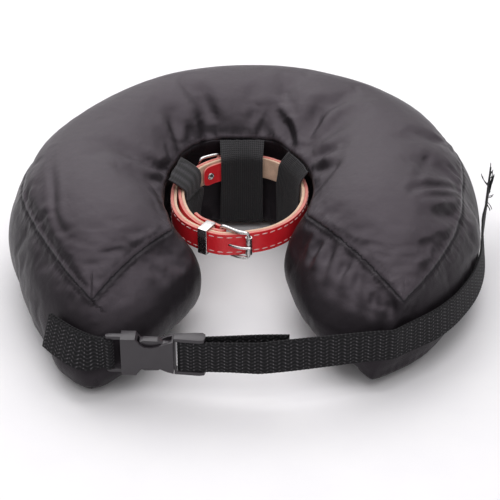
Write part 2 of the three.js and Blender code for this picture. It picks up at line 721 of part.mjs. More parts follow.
// The wire frame of the leather collar's buckle, from the heel bar to the bar under the roller.
function buildFrame() {
  const half = leatherWidth / 2 + seatGap * 2 + buckleWire / 2;
  const corner = buckleWire * 0.4;
  const sideAt = (share, z) => {
    const turn = mix(heelTurn, rollerTurn, share);
    return ringPlace(turn, mix(heelLift, rollerLift, smooth(share)), z);
  };
  const points = [];
  const bar = (share, sign) => {
    for (const z of [-1, -0.33, 0.33, 1]) {
      points.push(sideAt(share, leatherMiddle + sign * z * (half - corner)));
    }
  };
  const side = (from, to, sign) => {
    for (let k = 0; k <= 8; k++) points.push(sideAt(mix(from, to, k / 8), leatherMiddle + sign * half));
  };
  const inset = corner / buckleLength;
  bar(0, 1);
  side(inset, 1 - inset, 1);
  bar(1, -1);
  side(1 - inset, inset, -1);
  return wire(points, buckleWire / 2, 8, true);
}

function buildRoller() {
  const half = leatherWidth / 2 - buckleWire / 2;
  const inside = buckleWire / 2 + seatGap;
  const profile = [
    [inside, -half],
    [rollerRadius, -half],
    [rollerRadius, half],
    [inside, half],
    [inside, -half],
  ];
  const geometry = new THREE.LatheGeometry(profile.map(([r, y]) => new THREE.Vector2(r, y)), 12);
  geometry.rotateX(Math.PI / 2);
  const place = ringPlace(rollerTurn, rollerLift, leatherMiddle);
  return geometry.translate(place.x, place.y, place.z);
}

// The prong's way from its hook to the roller: along is a share of the buckle's length, rise a share of the
// lift from the heel bar to the place where the prong rests on the roller.
const prongTable = [
  { along: 0.5, rise: 0.72 },
  { along: 0.76, rise: 0.92 },
];
const hookStart = 250; // degrees back from the prong's way where its hook round the heel bar begins
const hookEnd = 60; // and where it ends

// The prong: hooked round the heel bar, through the strap's hole and over the roller.
function prongPath() {
  const heel = flat(ringPlace(heelTurn, heelLift));
  const hook = buckleWire / 2 + seatGap + prongWire / 2;
  const restLift = rollerLift + rollerRadius + prongWire / 2 + 2 * seatGap;
  const way = prongTable.map(({ along, rise }) =>
    flat(ringPlace(mix(heelTurn, rollerTurn, along), mix(heelLift, restLift, rise))));
  const tip = flat(ringPlace(rollerTurn + turnFor(prongOverhang), restLift));
  const aim = THREE.MathUtils.radToDeg(Math.atan2(way[0].y - heel.y, way[0].x - heel.x));
  const around = arcPoints(heel, hook, aim - hookStart, aim - hookEnd, 7);
  return [...around, ...way, tip].map((p) => new THREE.Vector3(p.x, p.y, leatherMiddle));
}

// The slit that the prong passes through, as tall as the prong and as long as its path.
function prongSlit(path) {
  const clear = prongWire / 2 + seatGap;
  const line = path.map((p) => new THREE.Vector2(p.x, p.y));
  return strip(line, 2 * clear, leatherMiddle - clear, 2 * clear);
}

function buildKeeper() {
  const inside = innerLapLift(keeperTurn) - leatherTotal / 2 - seatGap - keeperSlack;
  const high = strapLift(keeperTurn) + leatherTotal / 2 + seatGap + keeperSlack;
  const tall = leatherWidth / 2 + seatGap + keeperSlack;
  const ring = (grow) => [
    new THREE.Vector3(inside - grow, -keeperWidth / 2 - (grow ? 0 : overlap), -tall - grow),
    new THREE.Vector3(high + grow, keeperWidth / 2 + (grow ? 0 : overlap), tall + grow),
  ];
  const geometry = shaped(box(...ring(keeperWall)), { less: [box(...ring(0))] });
  geometry.rotateZ(radians(acrossTurn(keeperTurn)));
  const place = ringPlace(keeperTurn, 0, leatherMiddle);
  return geometry.translate(place.x, place.y, place.z);
}

const barLift = innerLapLift(slitTurn) + leatherTotal / 2 + seatGap + ringWire / 2;
const barTurn = slitTurn + turnFor(tabThickness / 2 + seatGap + ringWire / 2, barLift);

// The leash ring: a D of wire that lies flat against the outside of the strap, bar to the right.
function buildLeashRing() {
  const half = (ringHeight - ringWire) / 2;
  const bow = ringDepth - ringWire;
  const straight = bow - half * ringBow;
  const outline = [];
  for (const z of [-1, 0, 1]) outline.push([0, -z * (half - ringCorner)]);
  outline.push([ringCorner, -half]);
  outline.push([straight, -half]);
  for (let k = 1; k < 8; k++) {
    const angle = radians(-90 + (k / 8) * 180);
    outline.push([straight + half * ringBow * Math.cos(angle), half * Math.sin(angle)]);
  }
  outline.push([straight, half]);
  outline.push([ringCorner, half]);
  const start = ringPlace(barTurn, barLift, leatherMiddle);
  const heading = radians(acrossTurn(barTurn) + 90 + slitLean + ringSlant);
  const points = outline.map(([along, z]) => new THREE.Vector3(
    start.x + along * Math.cos(heading),
    start.y + along * Math.sin(heading),
    start.z + z,
  ));
  return wire(points, ringWire / 2, 8, true);
}

// The tab that holds the leash ring: it lies inside the strap, comes out through a slit, goes round the
// ring's bar and lies back on the outside of the strap.
function tabLine() {
  const below = leatherTotal / 2 + seatGap + tabThickness / 2;
  const innerLift = (turn) => innerLapLift(turn) - below;
  const outerLift = (turn) => innerLapLift(turn) + below;
  const bar = flat(ringPlace(barTurn, barLift));
  const hug = ringWire / 2 + seatGap + tabThickness / 2;
  const inside = ringLine(tabEndTurn, slitTurn + turnFor(tabThickness), innerLift);
  const slitLift = innerLapLift(slitTurn);
  const through = [-0.55, 0.1].map((share) => flat(ringPlace(slitTurn, slitLift + share * below)));
  const about = arcPoints(bar, hug, barTurn - 90, barTurn + 70, 7);
  const outside = ringLine(barTurn + turnFor(hug + tabThickness), outerTabEndTurn, outerLift);
  return [...inside, ...through, ...about, ...outside];
}

function buildTab(cutters) {
  const bottom = leatherMiddle - tabDrop - tabWidth / 2;
  return shaped(strip(tabLine(), tabThickness, bottom, tabWidth), { less: cutters });
}

// A slit across the strap for the tab, open below where the tab hangs past the strap's edge.
function slitCutter() {
  const half = tabThickness / 2 + slitSlack;
  const geometry = box(
    new THREE.Vector3(-leatherTotal, -half, leatherMiddle - tabDrop - tabWidth / 2 - seatGap - leatherWidth),
    new THREE.Vector3(leatherTotal, half, leatherMiddle - tabDrop + tabWidth / 2 + seatGap),
  );
  geometry.rotateZ(radians(acrossTurn(slitTurn) + slitLean));
  const place = ringPlace(slitTurn, innerLapLift(slitTurn));
  return geometry.translate(place.x, place.y, 0);
}

// The neck seam's distance from the neck's centre at a turn.
function neckSeamRadius(turn) {
  const places = innerSeam.getPoints(sections.length * 8);
  const rows = places.map((p) => ({
    turn: -((THREE.MathUtils.radToDeg(Math.atan2(p.y - neckCentreY, p.x - neckCentreX)) + 450) % 360),
    radius: Math.hypot(p.x - neckCentreX, p.y - neckCentreY),
  }));
  return tableCurve(rows, "turn", "radius")(-(turn + 90));
}

// An elastic band from the neck's top seam, inside the leather collar, to its bottom seam.
function buildBand({ topTurn, footTurn, inset }) {
  const topEdge = seamHeight - sewnGap;
  const footEdge = footHeight;
  const insideLeather = (turn) => {
    const place = ringPlace(turn, innerLapLift(turn) - inset * leatherTotal);
    return Math.hypot(place.x - neckCentreX, place.y - neckCentreY);
  };
  // in is the share of the way from the sewn edge at the seam to the stretch inside the leather ring.
  const profile = [
    { z: topEdge, in: 0 },
    { z: mix(topEdge, leatherBottom + leatherWidth, 0.5), in: 0.62 },
    { z: leatherBottom + leatherWidth, in: 1 },
    { z: leatherMiddle, in: 1 },
    { z: leatherBottom, in: 1 },
    { z: mix(leatherBottom, footEdge, 0.5), in: 0.5 },
    { z: footEdge, in: 0 },
  ];
  const steps = 6;
  const rings = profile.map(({ z, in: inwards }) => {
    const share = (topEdge - z) / (topEdge - footEdge);
    const middle = mix(topTurn, footTurn, share);
    const sewnRadius = (turn) => neckSeamRadius(turn) - sewnGap - bandThickness / 2;
    const radiusAt = (turn) => mix(sewnRadius(turn), insideLeather(turn), inwards);
    const spread = THREE.MathUtils.radToDeg(bandWidth / 2 / radiusAt(middle));
    const side = (sign, reverse) => Array.from({ length: steps + 1 }, (_, k) => {
      const across = reverse ? steps - k : k;
      const turn = mix(middle + spread, middle - spread, across / steps);
      return polar(neckCentreX, neckCentreY, turn, radiusAt(turn) + (sign * bandThickness) / 2, z);
    });
    return [...side(1, false), ...side(-1, true)];
  });
  return bandLoft(rings, steps);
}

// A loft whose end caps are strips of quads, so that a curved section closes cleanly.
function bandLoft(rings, steps) {
  const sides = rings[0].length;
  const triangles = [];
  for (let i = 0; i < rings.length - 1; i++) {
    for (let j = 0; j < sides; j++) {
      const k = (j + 1) % sides;
      const next = (i + 1) * sides;
      const here = i * sides;
      triangles.push([here + j, here + k, next + k], [here + j, next + k, next + j]);
    }
  }
  for (const [start, flip] of [[0, false], [(rings.length - 1) * sides, true]]) {
    for (let k = 0; k < steps; k++) {
      const quad = [k, k + 1, sides - 2 - k, sides - 1 - k].map((n) => start + n);
      if (!flip) quad.reverse();
      triangles.push([quad[0], quad[1], quad[2]], [quad[0], quad[2], quad[3]]);
    }
  }
  return solidGeometry(rings.flat(), triangles);
}

// The clip's parts lie along +X from the middle of the socket's bar, with the outside towards -Y.
const webWrap = barThickness / 2 + seatGap + webThickness / 2; // radius of the webbing round a bar
const socketStart = barThickness / 2 + slotLength;
const mouth = socketStart + socketLength;
const plugBar = mouth + lightSlit + webThickness / 2 + webWrap; // middle of the bar in the long strap
const frameEnd = mouth + frameLength;
const clipRelease = 2.6 * frameLength; // over which the strap takes up its lean beside the clip
const clipHalf = clipWidth / 2;

function plate(outline, thickness) {
  const shape = new THREE.Shape(outline.map(([x, z]) => new THREE.Vector2(x, z)));
  const geometry = new THREE.ExtrudeGeometry(shape, { depth: thickness, bevelEnabled: false });
  geometry.translate(0, 0, -thickness / 2);
  return geometry.rotateX(Math.PI / 2);
}

// Half width of the socket along its length: full at the back, scooped for the latches, and narrower at the
// mouth.
const socketTable = [
  { at: 0, half: 1 },
  { at: 0.28, half: 1 },
  { at: 0.36, half: 0.72 },
  { at: 0.46, half: 0.55 },
  { at: 0.58, half: 0.53 },
  { at: 0.72, half: 0.62 },
  { at: 0.88, half: 0.8 },
  { at: 1, half: 0.88 },
];

// A round bar across the clip, from rail to rail.
function roundBar(x, radius) {
  const bar = new THREE.CylinderGeometry(radius, radius, clipWidth - 2 * barInset, 10);
  return bar.rotateX(Math.PI / 2).translate(x, 0, 0);
}

function buildSocket() {
  const upper = socketTable.map(({ at, half }) => [socketStart + at * socketLength, half * clipHalf]);
  const lower = upper.map(([x, z]) => [x, -z]).reverse();
  const body = plate([...upper, ...lower], clipThickness);
  const yoke = box(
    new THREE.Vector3(0, -barThickness / 2, -clipHalf),
    new THREE.Vector3(socketStart + overlap, barThickness / 2, clipHalf),
  );
  const slot = box(
    new THREE.Vector3(-overlap, -clipThickness, -clipHalf + railWidth),
    new THREE.Vector3(socketStart, clipThickness, clipHalf - railWidth),
  );
  const cavity = box(
    new THREE.Vector3(socketStart + socketWall, -clipThickness / 2 + socketWall, -clipHalf + socketWall),
    new THREE.Vector3(mouth + overlap, clipThickness / 2 - socketWall, clipHalf - socketWall),
  );
  const frame = shaped(body, { plus: [yoke], less: [slot, cavity] });
  return shaped(frame, { plus: [roundBar(0, barThickness / 2)] });
}

// Outlines of the plug's tongues inside the socket: at is a share of the socket's length, out a share of the
// room on one side of its middle. A latch goes from the mouth out to its head and back along its inside, and
// the guide tapers to its tip.
const latchTable = [
  { at: 0.96, out: 0.62 },
  { at: 0.96, out: 0.8 },
  { at: 0.8, out: 0.78 },
  { at: 0.7, out: 0.98 },
  { at: 0.44, out: 1 },
  { at: 0.36, out: 0.92 },
  { at: 0.33, out: 0.7 },
  { at: 0.6, out: 0.6 },
];
const guideTable = [
  { at: 1, out: 0.22 },
  { at: 0.18, out: 0.16 },
  { at: 0.12, out: 0.1 },
];

// The outline of the plug's side rails, seen from their side: at is a share of frameLength from the mouth,
// out a share of railThickness from the middle towards the outside.
const railTable = [
  { at: 0, out: -0.34 },
  { at: 0, out: 0.34 },
  { at: 0.82, out: 0.5 },
  { at: 0.96, out: 0.42 },
  { at: 1, out: 0.1 },
  { at: 1, out: -0.3 },
  { at: 0.91, out: -0.48 },
  { at: 0.64, out: -0.46 },
];

function buildPlug() {
  const thickness = clipThickness - 2 * socketWall - 2 * seatGap;
  const inner = clipHalf - socketWall - seatGap;
  const inSocket = ({ at, out }, sign) => [socketStart + at * socketLength, sign * out * inner];
  const latch = (sign) => plate(latchTable.map((row) => inSocket(row, sign)), thickness);
  const guideSide = (sign) => guideTable.map((row) => inSocket(row, sign));
  const guide = plate([...guideSide(-1), ...guideSide(1).reverse()], thickness);
  const shoulder = box(
    new THREE.Vector3(mouth - shoulderLength, -thickness / 2, -shoulderWidth * inner),
    new THREE.Vector3(mouth + plateLength, thickness / 2, shoulderWidth * inner),
  );
  const railStart = mouth + seatGap;
  const railOutline = railTable.map(({ at, out }) =>
    new THREE.Vector2(mix(railStart, frameEnd, at), -out * railThickness));
  const rails = [-1, 1].map((sign) => {
    const shape = new THREE.Shape(railOutline);
    const rail = new THREE.ExtrudeGeometry(shape, { depth: railWidth, bevelEnabled: false });
    return rail.translate(0, 0, sign > 0 ? clipHalf - railWidth : -clipHalf);
  });
  const base = box(
    new THREE.Vector3(railStart, -thickness / 2, -clipHalf + plateInset),
    new THREE.Vector3(mouth + plateLength, thickness / 2, clipHalf - plateInset),
  );
  const bars = [roundBar(plugBar, barThickness / 2), roundBar(frameEnd - gripBarInset, gripBarRadius)];
  return shaped(shoulder, { plus: [guide, latch(1), latch(-1), base, ...rails, ...bars] });
}

// Webbing that comes along a line, goes round a bar and lies back along the same line.
function hairpin(front, bar, back, aim) {
  return [...front, ...arcPoints(bar, webWrap, aim - 90, aim - 270, 8), ...back];
}

function assemble() {
  const collar = new THREE.Group();
  const finishes = {
    cloth: new THREE.MeshStandardMaterial({ color: 0x2b292c, roughness: 0.55, metalness: 0 }),
    elastic: new THREE.MeshStandardMaterial({ color: 0x1c1c1f, roughness: 0.85, metalness: 0 }),
    webbing: new THREE.MeshStandardMaterial({ color: 0x1f2021, roughness: 0.75, metalness: 0 }),
    plastic: new THREE.MeshStandardMaterial({ color: 0x3a363b, roughness: 0.45, metalness: 0 }),
    leather: new THREE.MeshStandardMaterial({ color: 0xc4161f, roughness: 0.42, metalness: 0 }),
    lining: new THREE.MeshStandardMaterial({ color: 0xb48a6c, roughness: 0.85, metalness: 0 }),
    steel: new THREE.MeshStandardMaterial({ color: 0xd8d8d8, roughness: 0.2, metalness: 1 }),
  };
  const place = (name, geometry, finish, parent = collar) => {
    const mesh = new THREE.Mesh(geometry, finishes[finish]);
    mesh.name = name;
    parent.add(mesh);
    return mesh;
  };

  const { geometry: cushion, outline } = buildCushion();
  place("cushion", cushion, "cloth");
  for (const band of bands) place(band.name, buildBand(band), "elastic");

  placeLeather(place);
  placeStrap(place, outline, collar);

  // The finished collar is set over the origin, on the floor.
  const bounds = new THREE.Box3().setFromObject(collar);
  collar.position.set(-(bounds.min.x + bounds.max.x) / 2, -(bounds.min.y + bounds.max.y) / 2, -bounds.min.z);
  return collar;
}

function placeLeather(place) {
  const prong = prongPath();
  const prongCutter = prongSlit(prong);
  const flapIn = flapLift(flapRivetTurn) - leatherThickness / 2 - 2 * seatGap;
  const strapOut = innerLapLift(flapRivetTurn) + leatherTotal / 2 + seatGap;
  const holeRadius = rivetRadius + seatGap;
  const flapOut = strapOut + seatGap;
  const flapHole = crossCutter(flapRivetTurn, holeRadius, flapIn - overlap, flapOut, leatherMiddle);
  const tabIn = innerLapLift(tabRivetTurn) - leatherTotal / 2 - 2.5 * seatGap - tabThickness;
  const tabOut = innerLapLift(tabRivetTurn) + leatherTotal / 2 + 2.5 * seatGap + tabThickness;
  const tabMiddle = leatherMiddle - tabDrop;
  const tabHole = crossCutter(tabRivetTurn, holeRadius, tabIn - overlap, tabOut + overlap, tabMiddle);

  place("collar_leather", buildLeather([prongCutter, flapHole, tabHole, slitCutter()]), "leather");
  place("collar_lining", buildLining([prongCutter, flapHole, tabHole, slitCutter()]), "lining");
  place("buckle_frame", buildFrame(), "steel");
  place("buckle_roller", buildRoller(), "steel");
  place("buckle_prong", wire(prong, prongWire / 2, 8), "steel");
  place("collar_keeper", buildKeeper(), "steel");
  place("flap_rivet", buildRivet(flapRivetTurn, flapIn, strapOut, leatherMiddle), "steel");
  place("leash_ring", buildLeashRing(), "steel");
  place("ring_tab", buildTab([tabHole]), "leather");
  place("tab_rivet", buildRivet(tabRivetTurn, tabIn, tabOut, tabMiddle), "steel");
}

function placeStrap(place, outline, collar) {
  const line = strapLine(outline);
  // The longest step of the line is the span across the opening.
  const steps = line.slice(1).map((p, i) => p.distanceTo(line[i]));
  const spanIndex = steps.indexOf(Math.max(...steps.slice(1)));
  const spanRight = line[spanIndex];
  const lobe = line[spanIndex + 1];
  const aim = spanRight.clone().sub(lobe).setZ(0).normalize();
  const spanLeft = lobe.clone().addScaledVector(aim, clipOffset);
  const aimTurn = THREE.MathUtils.radToDeg(Math.atan2(aim.y, aim.x));
  const at = (distance) => spanLeft.clone().addScaledVector(aim, distance);
  const outwards = new THREE.Vector3(aim.y, -aim.x, 0);
  // The strap stands upright in the clip and takes up its lean away from it.
  const upright = (p, distance, release) => p.setZ(p.z * smooth(distance / release));

  const clip = new THREE.Group();
  clip.position.set(spanLeft.x, spanLeft.y, webHeight);
  clip.rotation.z = radians(aimTurn);
  collar.add(clip);
  place("clip_socket", buildSocket(), "plastic", clip);
  place("clip_plug", buildPlug(), "plastic", clip);

  // The long strap comes along the outside, goes round the plug's bar and lies back behind itself.
  const spanStart = lengthOf(line.slice(0, spanIndex + 1));
  const outside = cut(line, 0, spanStart + spanLeft.distanceTo(spanRight) - plugBar);
  const front = stepped(outside, webWidth / 2).map((p) => {
    const distance = Math.max(0, p.clone().sub(at(plugBar)).dot(aim));
    const share = 1 - smooth((distance - frontHold) / frontSettle);
    return upright(p.clone(), distance - frameLength, clipRelease).addScaledVector(outwards, webWrap * share);
  });
  const bar = at(plugBar);
  const tail = [0, 0.25, 0.5, 0.75, 1].map((share) => {
    const behind = webWrap * mix(1, tailStand, smooth(share));
    const p = bar.clone().addScaledVector(aim, webTail * share).addScaledVector(outwards, -behind);
    return p.setZ(-webLean * smooth(share));
  });
  const long = hairpin(front.slice(0, -1), bar, tail.slice(1), aimTurn);
  place("strap_long", strip(long, webThickness, webHeight - webWidth / 2, webWidth), "webbing");

  // The short strap is sewn to the left lobe, goes round the socket's bar and lies back on itself.
  const barPlace = spanStart + spanLeft.distanceTo(spanRight);
  const round = cut(line, barPlace + webWrap, barPlace + clipOffset + anchorReach);
  const apart = webThickness / 2 + seatGap / 2;
  for (const p of round) upright(p, p.distanceTo(spanLeft) - webWrap, clipOffset);
  const outer = sideways(round, apart).reverse();
  for (const p of outer) p.setZ(-p.z);
  const inner = sideways(round, -apart);
  const short = [
    ...outer,
    ...arcPoints(spanLeft, webWrap, aimTurn - 120, aimTurn + 120, 10),
    ...inner,
  ];
  place("strap_short", strip(short, webThickness, webHeight - webWidth / 2, webWidth), "webbing");
}

export default assemble();
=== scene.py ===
# A padded recovery collar for a dog, lying flat with its opening towards the camera: a stuffed black
# cushion, three elastic bands in its neck hole that carry a red leather collar, and a webbing strap with a
# side-release clip. Everything is in metres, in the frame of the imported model.
import math

import bpy
import numpy as np
from mathutils import Matrix, Vector, noise
from mathutils.bvhtree import BVHTree
from mathutils.kdtree import KDTree


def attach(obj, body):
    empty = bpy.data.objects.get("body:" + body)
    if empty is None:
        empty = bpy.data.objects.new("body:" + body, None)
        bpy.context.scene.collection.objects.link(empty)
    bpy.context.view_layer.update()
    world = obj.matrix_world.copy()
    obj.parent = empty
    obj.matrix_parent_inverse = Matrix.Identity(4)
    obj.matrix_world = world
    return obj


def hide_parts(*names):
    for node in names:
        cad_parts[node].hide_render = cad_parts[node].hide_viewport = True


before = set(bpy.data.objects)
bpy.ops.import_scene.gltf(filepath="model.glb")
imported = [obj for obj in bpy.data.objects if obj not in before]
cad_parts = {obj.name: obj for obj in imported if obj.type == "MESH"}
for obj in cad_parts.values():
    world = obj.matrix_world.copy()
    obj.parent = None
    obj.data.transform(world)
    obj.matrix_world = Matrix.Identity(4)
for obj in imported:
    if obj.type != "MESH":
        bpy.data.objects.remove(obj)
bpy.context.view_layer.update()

mm = 0.001
up = Vector((0, 0, 1))
centre = Vector((-0.00747, -0.02618, 0))  # middle of the cushion's outer edge, which the tables count from
neckX = -6.5  # of the neck hole's middle, in millimetres
neckY = 28.0
weldReach = 0.01 * mm


def spot(x, y, z=0.0):  # a place given in millimetres from the middle
    return centre + Vector((x, y, z)) * mm


def polar(x, y, turn, radius, z=0.0):  # the same, by its turn and distance about a point
    return spot(x + radius * math.cos(math.radians(turn)), y + radius * math.sin(math.radians(turn)), z)


neckCentre = spot(neckX, neckY)

# The camera stands where the photographer stood, in front of the opening and a little above.
cameraPlan = {
    "target": (-0.00747, -0.02618, 0.060),
    "distance": 1.2,
    "elevation": 32.5,  # degrees
    "lens": 111.5,
    "shiftX": 0.004,
    "shiftY": -0.05,
}


def addCamera(plan):
    rise = math.radians(plan["elevation"])
    place = Vector(plan["target"]) + plan["distance"] * Vector((0, -math.cos(rise), math.sin(rise)))
    bpy.ops.object.camera_add(location=place, rotation=(math.pi / 2 - rise, 0, 0))
    camera = bpy.context.object
    camera.name = "camera"
    camera.data.lens = plan["lens"]
    camera.data.sensor_width = 36
    camera.data.shift_x = plan["shiftX"]
    camera.data.shift_y = plan["shiftY"]
    camera.data.clip_start = 0.05
    bpy.context.scene.camera = camera


addCamera(cameraPlan)
print("camera placed")

# Soft light from above and behind, a little from the front, and a pale room all round.
lightPlan = {
    "room": (0.65, 0.64, 0.65, 0.82),  # colour and strength
    "softboxes": [
        {"name": "overhead", "place": (-0.1, 0.55, 1.5), "size": 1.9, "power": 21.5},
        {"name": "back", "place": (-0.6, 1.8, 1.1), "size": 1.6, "power": 6.5},
        {"name": "front", "place": (0.2, -1.3, 2.4), "size": 1.4, "power": 13.0},
    ],
    "aim": (0, 0, 0.05),
    "tint": (1.0, 0.985, 1.0),
}


def addLights(plan):
    world = bpy.data.worlds.new("room")
    world.use_nodes = True
    red, green, blue, strength = plan["room"]
    background = world.node_tree.nodes["Background"]
    background.inputs["Color"].default_value = (red, green, blue, 1)
    background.inputs["Strength"].default_value = strength
    bpy.context.scene.world = world
    for box in plan["softboxes"]:
        place = Vector(box["place"])
        turn = (Vector(plan["aim"]) - place).to_track_quat("-Z", "Y").to_euler()
        bpy.ops.object.light_add(type="AREA", location=place, rotation=turn)
        lamp = bpy.context.object
        lamp.name = box["name"]
        lamp.data.shape = "SQUARE"
        lamp.data.size = box["size"]
        lamp.data.energy = box["power"]
        lamp.data.color = plan["tint"]
    bpy.context.scene.view_settings.view_transform = "Standard"


addLights(lightPlan)
print("lights placed")


def makeActive(piece):
    bpy.ops.object.select_all(action="DESELECT")
    piece.select_set(True)
    bpy.context.view_layer.objects.active = piece


def finishWith(piece, kind, **settings):  # adds a modifier with these settings and applies it
    makeActive(piece)
    modifier = piece.modifiers.new(kind.lower(), kind)
    for key, value in settings.items():
        setattr(modifier, key, value)
    bpy.ops.object.modifier_apply(modifier=modifier.name)
    return piece


def copyOf(node, name):  # a welded copy of a node's mesh as a piece of its own
    piece = bpy.data.objects.new(name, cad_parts[node].data.copy())
    bpy.context.collection.objects.link(piece)
    makeActive(piece)
    bpy.ops.object.mode_set(mode="EDIT")
    bpy.ops.mesh.select_all(action="SELECT")
    bpy.ops.mesh.remove_doubles(threshold=weldReach)
    bpy.ops.mesh.customdata_custom_splitnormals_clear()
    bpy.ops.object.mode_set(mode="OBJECT")
    piece.data.materials.clear()
    return piece


def addGrid(name, alongSteps, acrossSteps):  # a flat sheet of faces, a unit square from (0, 0) to (1, 1)
    bpy.ops.object.select_all(action="DESELECT")
    bpy.ops.mesh.primitive_grid_add(x_subdivisions=alongSteps, y_subdivisions=acrossSteps, size=1)
    sheet = bpy.context.object
    sheet.name = name
    for corner in sheet.data.vertices:
        corner.co += Vector((0.5, 0.5, 0))
    return sheet


def setNumbers(piece, name, numbers):  # one number a vertex, for the materials
    layer = piece.data.attributes.new(name, "FLOAT", "POINT")
    layer.data.foreach_set("value", numbers)


def numbersOf(piece, name):
    numbers = np.empty(len(piece.data.vertices), np.float32)
    piece.data.attributes[name].data.foreach_get("value", numbers)
    return numbers


def vectorsOf(mesh, kind):
    vectors = np.empty(len(mesh.vertices) * 3, np.float32)
    mesh.vertices.foreach_get(kind, vectors)
    return vectors.reshape(-1, 3)


def placesOf(mesh):
    return vectorsOf(mesh, "co")


def normalsOf(mesh):
    return vectorsOf(mesh, "normal")


def unitSquare(sheet):  # where each vertex lies along and across a grid
    places = placesOf(sheet.data)
    return places[:, 0].copy(), places[:, 1].copy()


def moveTo(piece, places):
    piece.data.vertices.foreach_set("co", places.astype(np.float32).ravel())
    piece.data.update()


def settle(piece, node=None):  # the piece stands for this node and moves with the collar
    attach(piece, "root")
    if node:
        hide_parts(node)
    return piece


def smoothStep(share):
    held = min(1.0, max(0.0, share))
    return held * held * (3 - 2 * held)


def hump(offset, width):
    return math.exp(-((offset / width) ** 2))


def curveThrough(points, share):  # a place on a smooth curve through the points, from 0 to 1
    last = len(points) - 1
    i = min(last - 1, int(share * last))
    w = share * last - i
    p1, p2 = points[i], points[i + 1]
    p0 = points[i - 1] if i > 0 else 2 * p1 - p2
    p3 = points[i + 2] if i + 2 <= last else 2 * p2 - p1
    d0, d1, d2 = [max(1e-6, math.sqrt((b - a).length)) for a, b in ((p0, p1), (p1, p2), (p2, p3))]
    t1 = ((p1 - p0) / d0 - (p2 - p0) / (d0 + d1) + (p2 - p1) / d1) * d1
    t2 = ((p2 - p1) / d1 - (p3 - p1) / (d1 + d2) + (p3 - p2) / d2) * d1
    return p1 + t1 * w + (3 * (p2 - p1) - 2 * t1 - t2) * w * w + (2 * (p1 - p2) + t1 + t2) * w ** 3


# Nodes for the materials and for the groups that they share.
class NodeBench:
    def __init__(self, tree):
        self.tree = tree

    def feed(self, socket, value):
        if isinstance(value, bpy.types.NodeSocket):
            self.tree.links.new(value, socket)
        elif isinstance(value, tuple) and len(value) == 3 and socket.type == "RGBA":
            socket.default_value = (*value, 1)
        else:
            socket.default_value = value

    def feedAll(self, node, inputs):
        for name, value in inputs.items():
            self.feed(node.inputs[name.replace("_", " ")], value)
        return node

    def node(self, kind, settings=None, **inputs):
        node = self.tree.nodes.new(kind)
        for key, value in (settings or {}).items():
            setattr(node, key, value)
        return self.feedAll(node, inputs)

    def effect(self, group, **inputs):  # one of the shared groups
        return self.node("ShaderNodeGroup", {"node_tree": group}, **inputs).outputs[0]

    def maths(self, operation, *values):
        node = self.node("ShaderNodeMath", {"operation": operation})
        for socket, value in zip(node.inputs, values):
            self.feed(socket, value)
        return node.outputs[0]

    def blend(self, share, low, high):  # from one colour to another
        node = self.node("ShaderNodeMix", {"data_type": "RGBA"})
        for number, value in ((0, share), (6, low), (7, high)):
            self.feed(node.inputs[number], value)
        return node.outputs[2]

    def spread(self, value, settings=None, **limits):  # maps a value from one range to another
        return self.node("ShaderNodeMapRange", settings, Value=value, **limits).outputs[0]


class Finish(NodeBench):  # a material with its shader at hand
    def __init__(self, name, colour, roughness, **sockets):
        self.material = bpy.data.materials.new(name)
        self.material.use_nodes = True
        super().__init__(self.material.node_tree)
        self.shader = self.tree.nodes["Principled BSDF"]
        self.feedAll(self.shader, {"Base_Color": colour, "Roughness": roughness, **sockets})
        self.place = self.node("ShaderNodeTexCoord").outputs["Object"]

    def attribute(self, name):
        return self.node("ShaderNodeAttribute", {"attribute_name": name}).outputs["Fac"]

    def rough(self, value, low, high):  # roughness from low to high as the value goes from 0 to 1
        self.feed(self.shader.inputs["Roughness"], self.spread(value, To_Min=low, To_Max=high))

    def colour(self, socket):
        self.feed(self.shader.inputs["Base Color"], socket)

    def bump(self, height, distance, strength=1.0, under=None):
        lower = {"Normal": under} if under else {}
        node = self.node("ShaderNodeBump", Height=height, Distance=distance, Strength=strength, **lower)
        self.feed(self.shader.inputs["Normal"], node.outputs[0])
        return node.outputs[0]


def newGroup(name, inputs, output):  # a group with one value coming out
    group = bpy.data.node_groups.new(name, "ShaderNodeTree")
    for label, kind in inputs.items():
        group.interface.new_socket(label, in_out="INPUT", socket_type=kind)
    group.interface.new_socket(output, in_out="OUTPUT", socket_type="NodeSocketFloat")
    bench = NodeBench(group)
    return bench, bench.node("NodeGroupInput").outputs, bench.node("NodeGroupOutput").inputs[output]


def buildMottle():  # slow, uneven change over a surface, from 0 to 1
    inputs = {"Place": "NodeSocketVector", "Size": "NodeSocketFloat", "Contrast": "NodeSocketFloat"}
    bench, given, made = newGroup("mottle", inputs, "Value")
    rate = bench.maths("DIVIDE", 1.0, given["Size"])
    cloud = bench.node("ShaderNodeTexNoise", Vector=given["Place"], Scale=rate, Detail=4.0, Roughness=0.55)
    centred = bench.maths("SUBTRACT", cloud.outputs["Fac"], 0.5)
    value = bench.maths("MULTIPLY_ADD", centred, given["Contrast"], 0.5)
    bench.feed(made, bench.node("ShaderNodeClamp", Value=value).outputs[0])
    return bench.tree


def buildWeave():  # fine plain weave that needs no unwrapping, from 0 to 1
    inputs = {"Place": "NodeSocketVector", "Pitch": "NodeSocketFloat"}
    bench, given, made = newGroup("weave", inputs, "Height")
    rate = bench.maths("DIVIDE", 2 * math.pi, given["Pitch"])
    axes = bench.node("ShaderNodeSeparateXYZ", Vector=given["Place"]).outputs
    waves = [bench.maths("SINE", bench.maths("MULTIPLY", axis, rate)) for axis in axes]
    pairs = [bench.maths("MULTIPLY", waves[a], waves[b]) for a, b in ((0, 1), (1, 2), (0, 2))]
    total = bench.maths("ADD", bench.maths("ADD", pairs[0], pairs[1]), pairs[2])
    bench.feed(made, bench.maths("MULTIPLY_ADD", total, 0.33, 0.5))
    return bench.tree


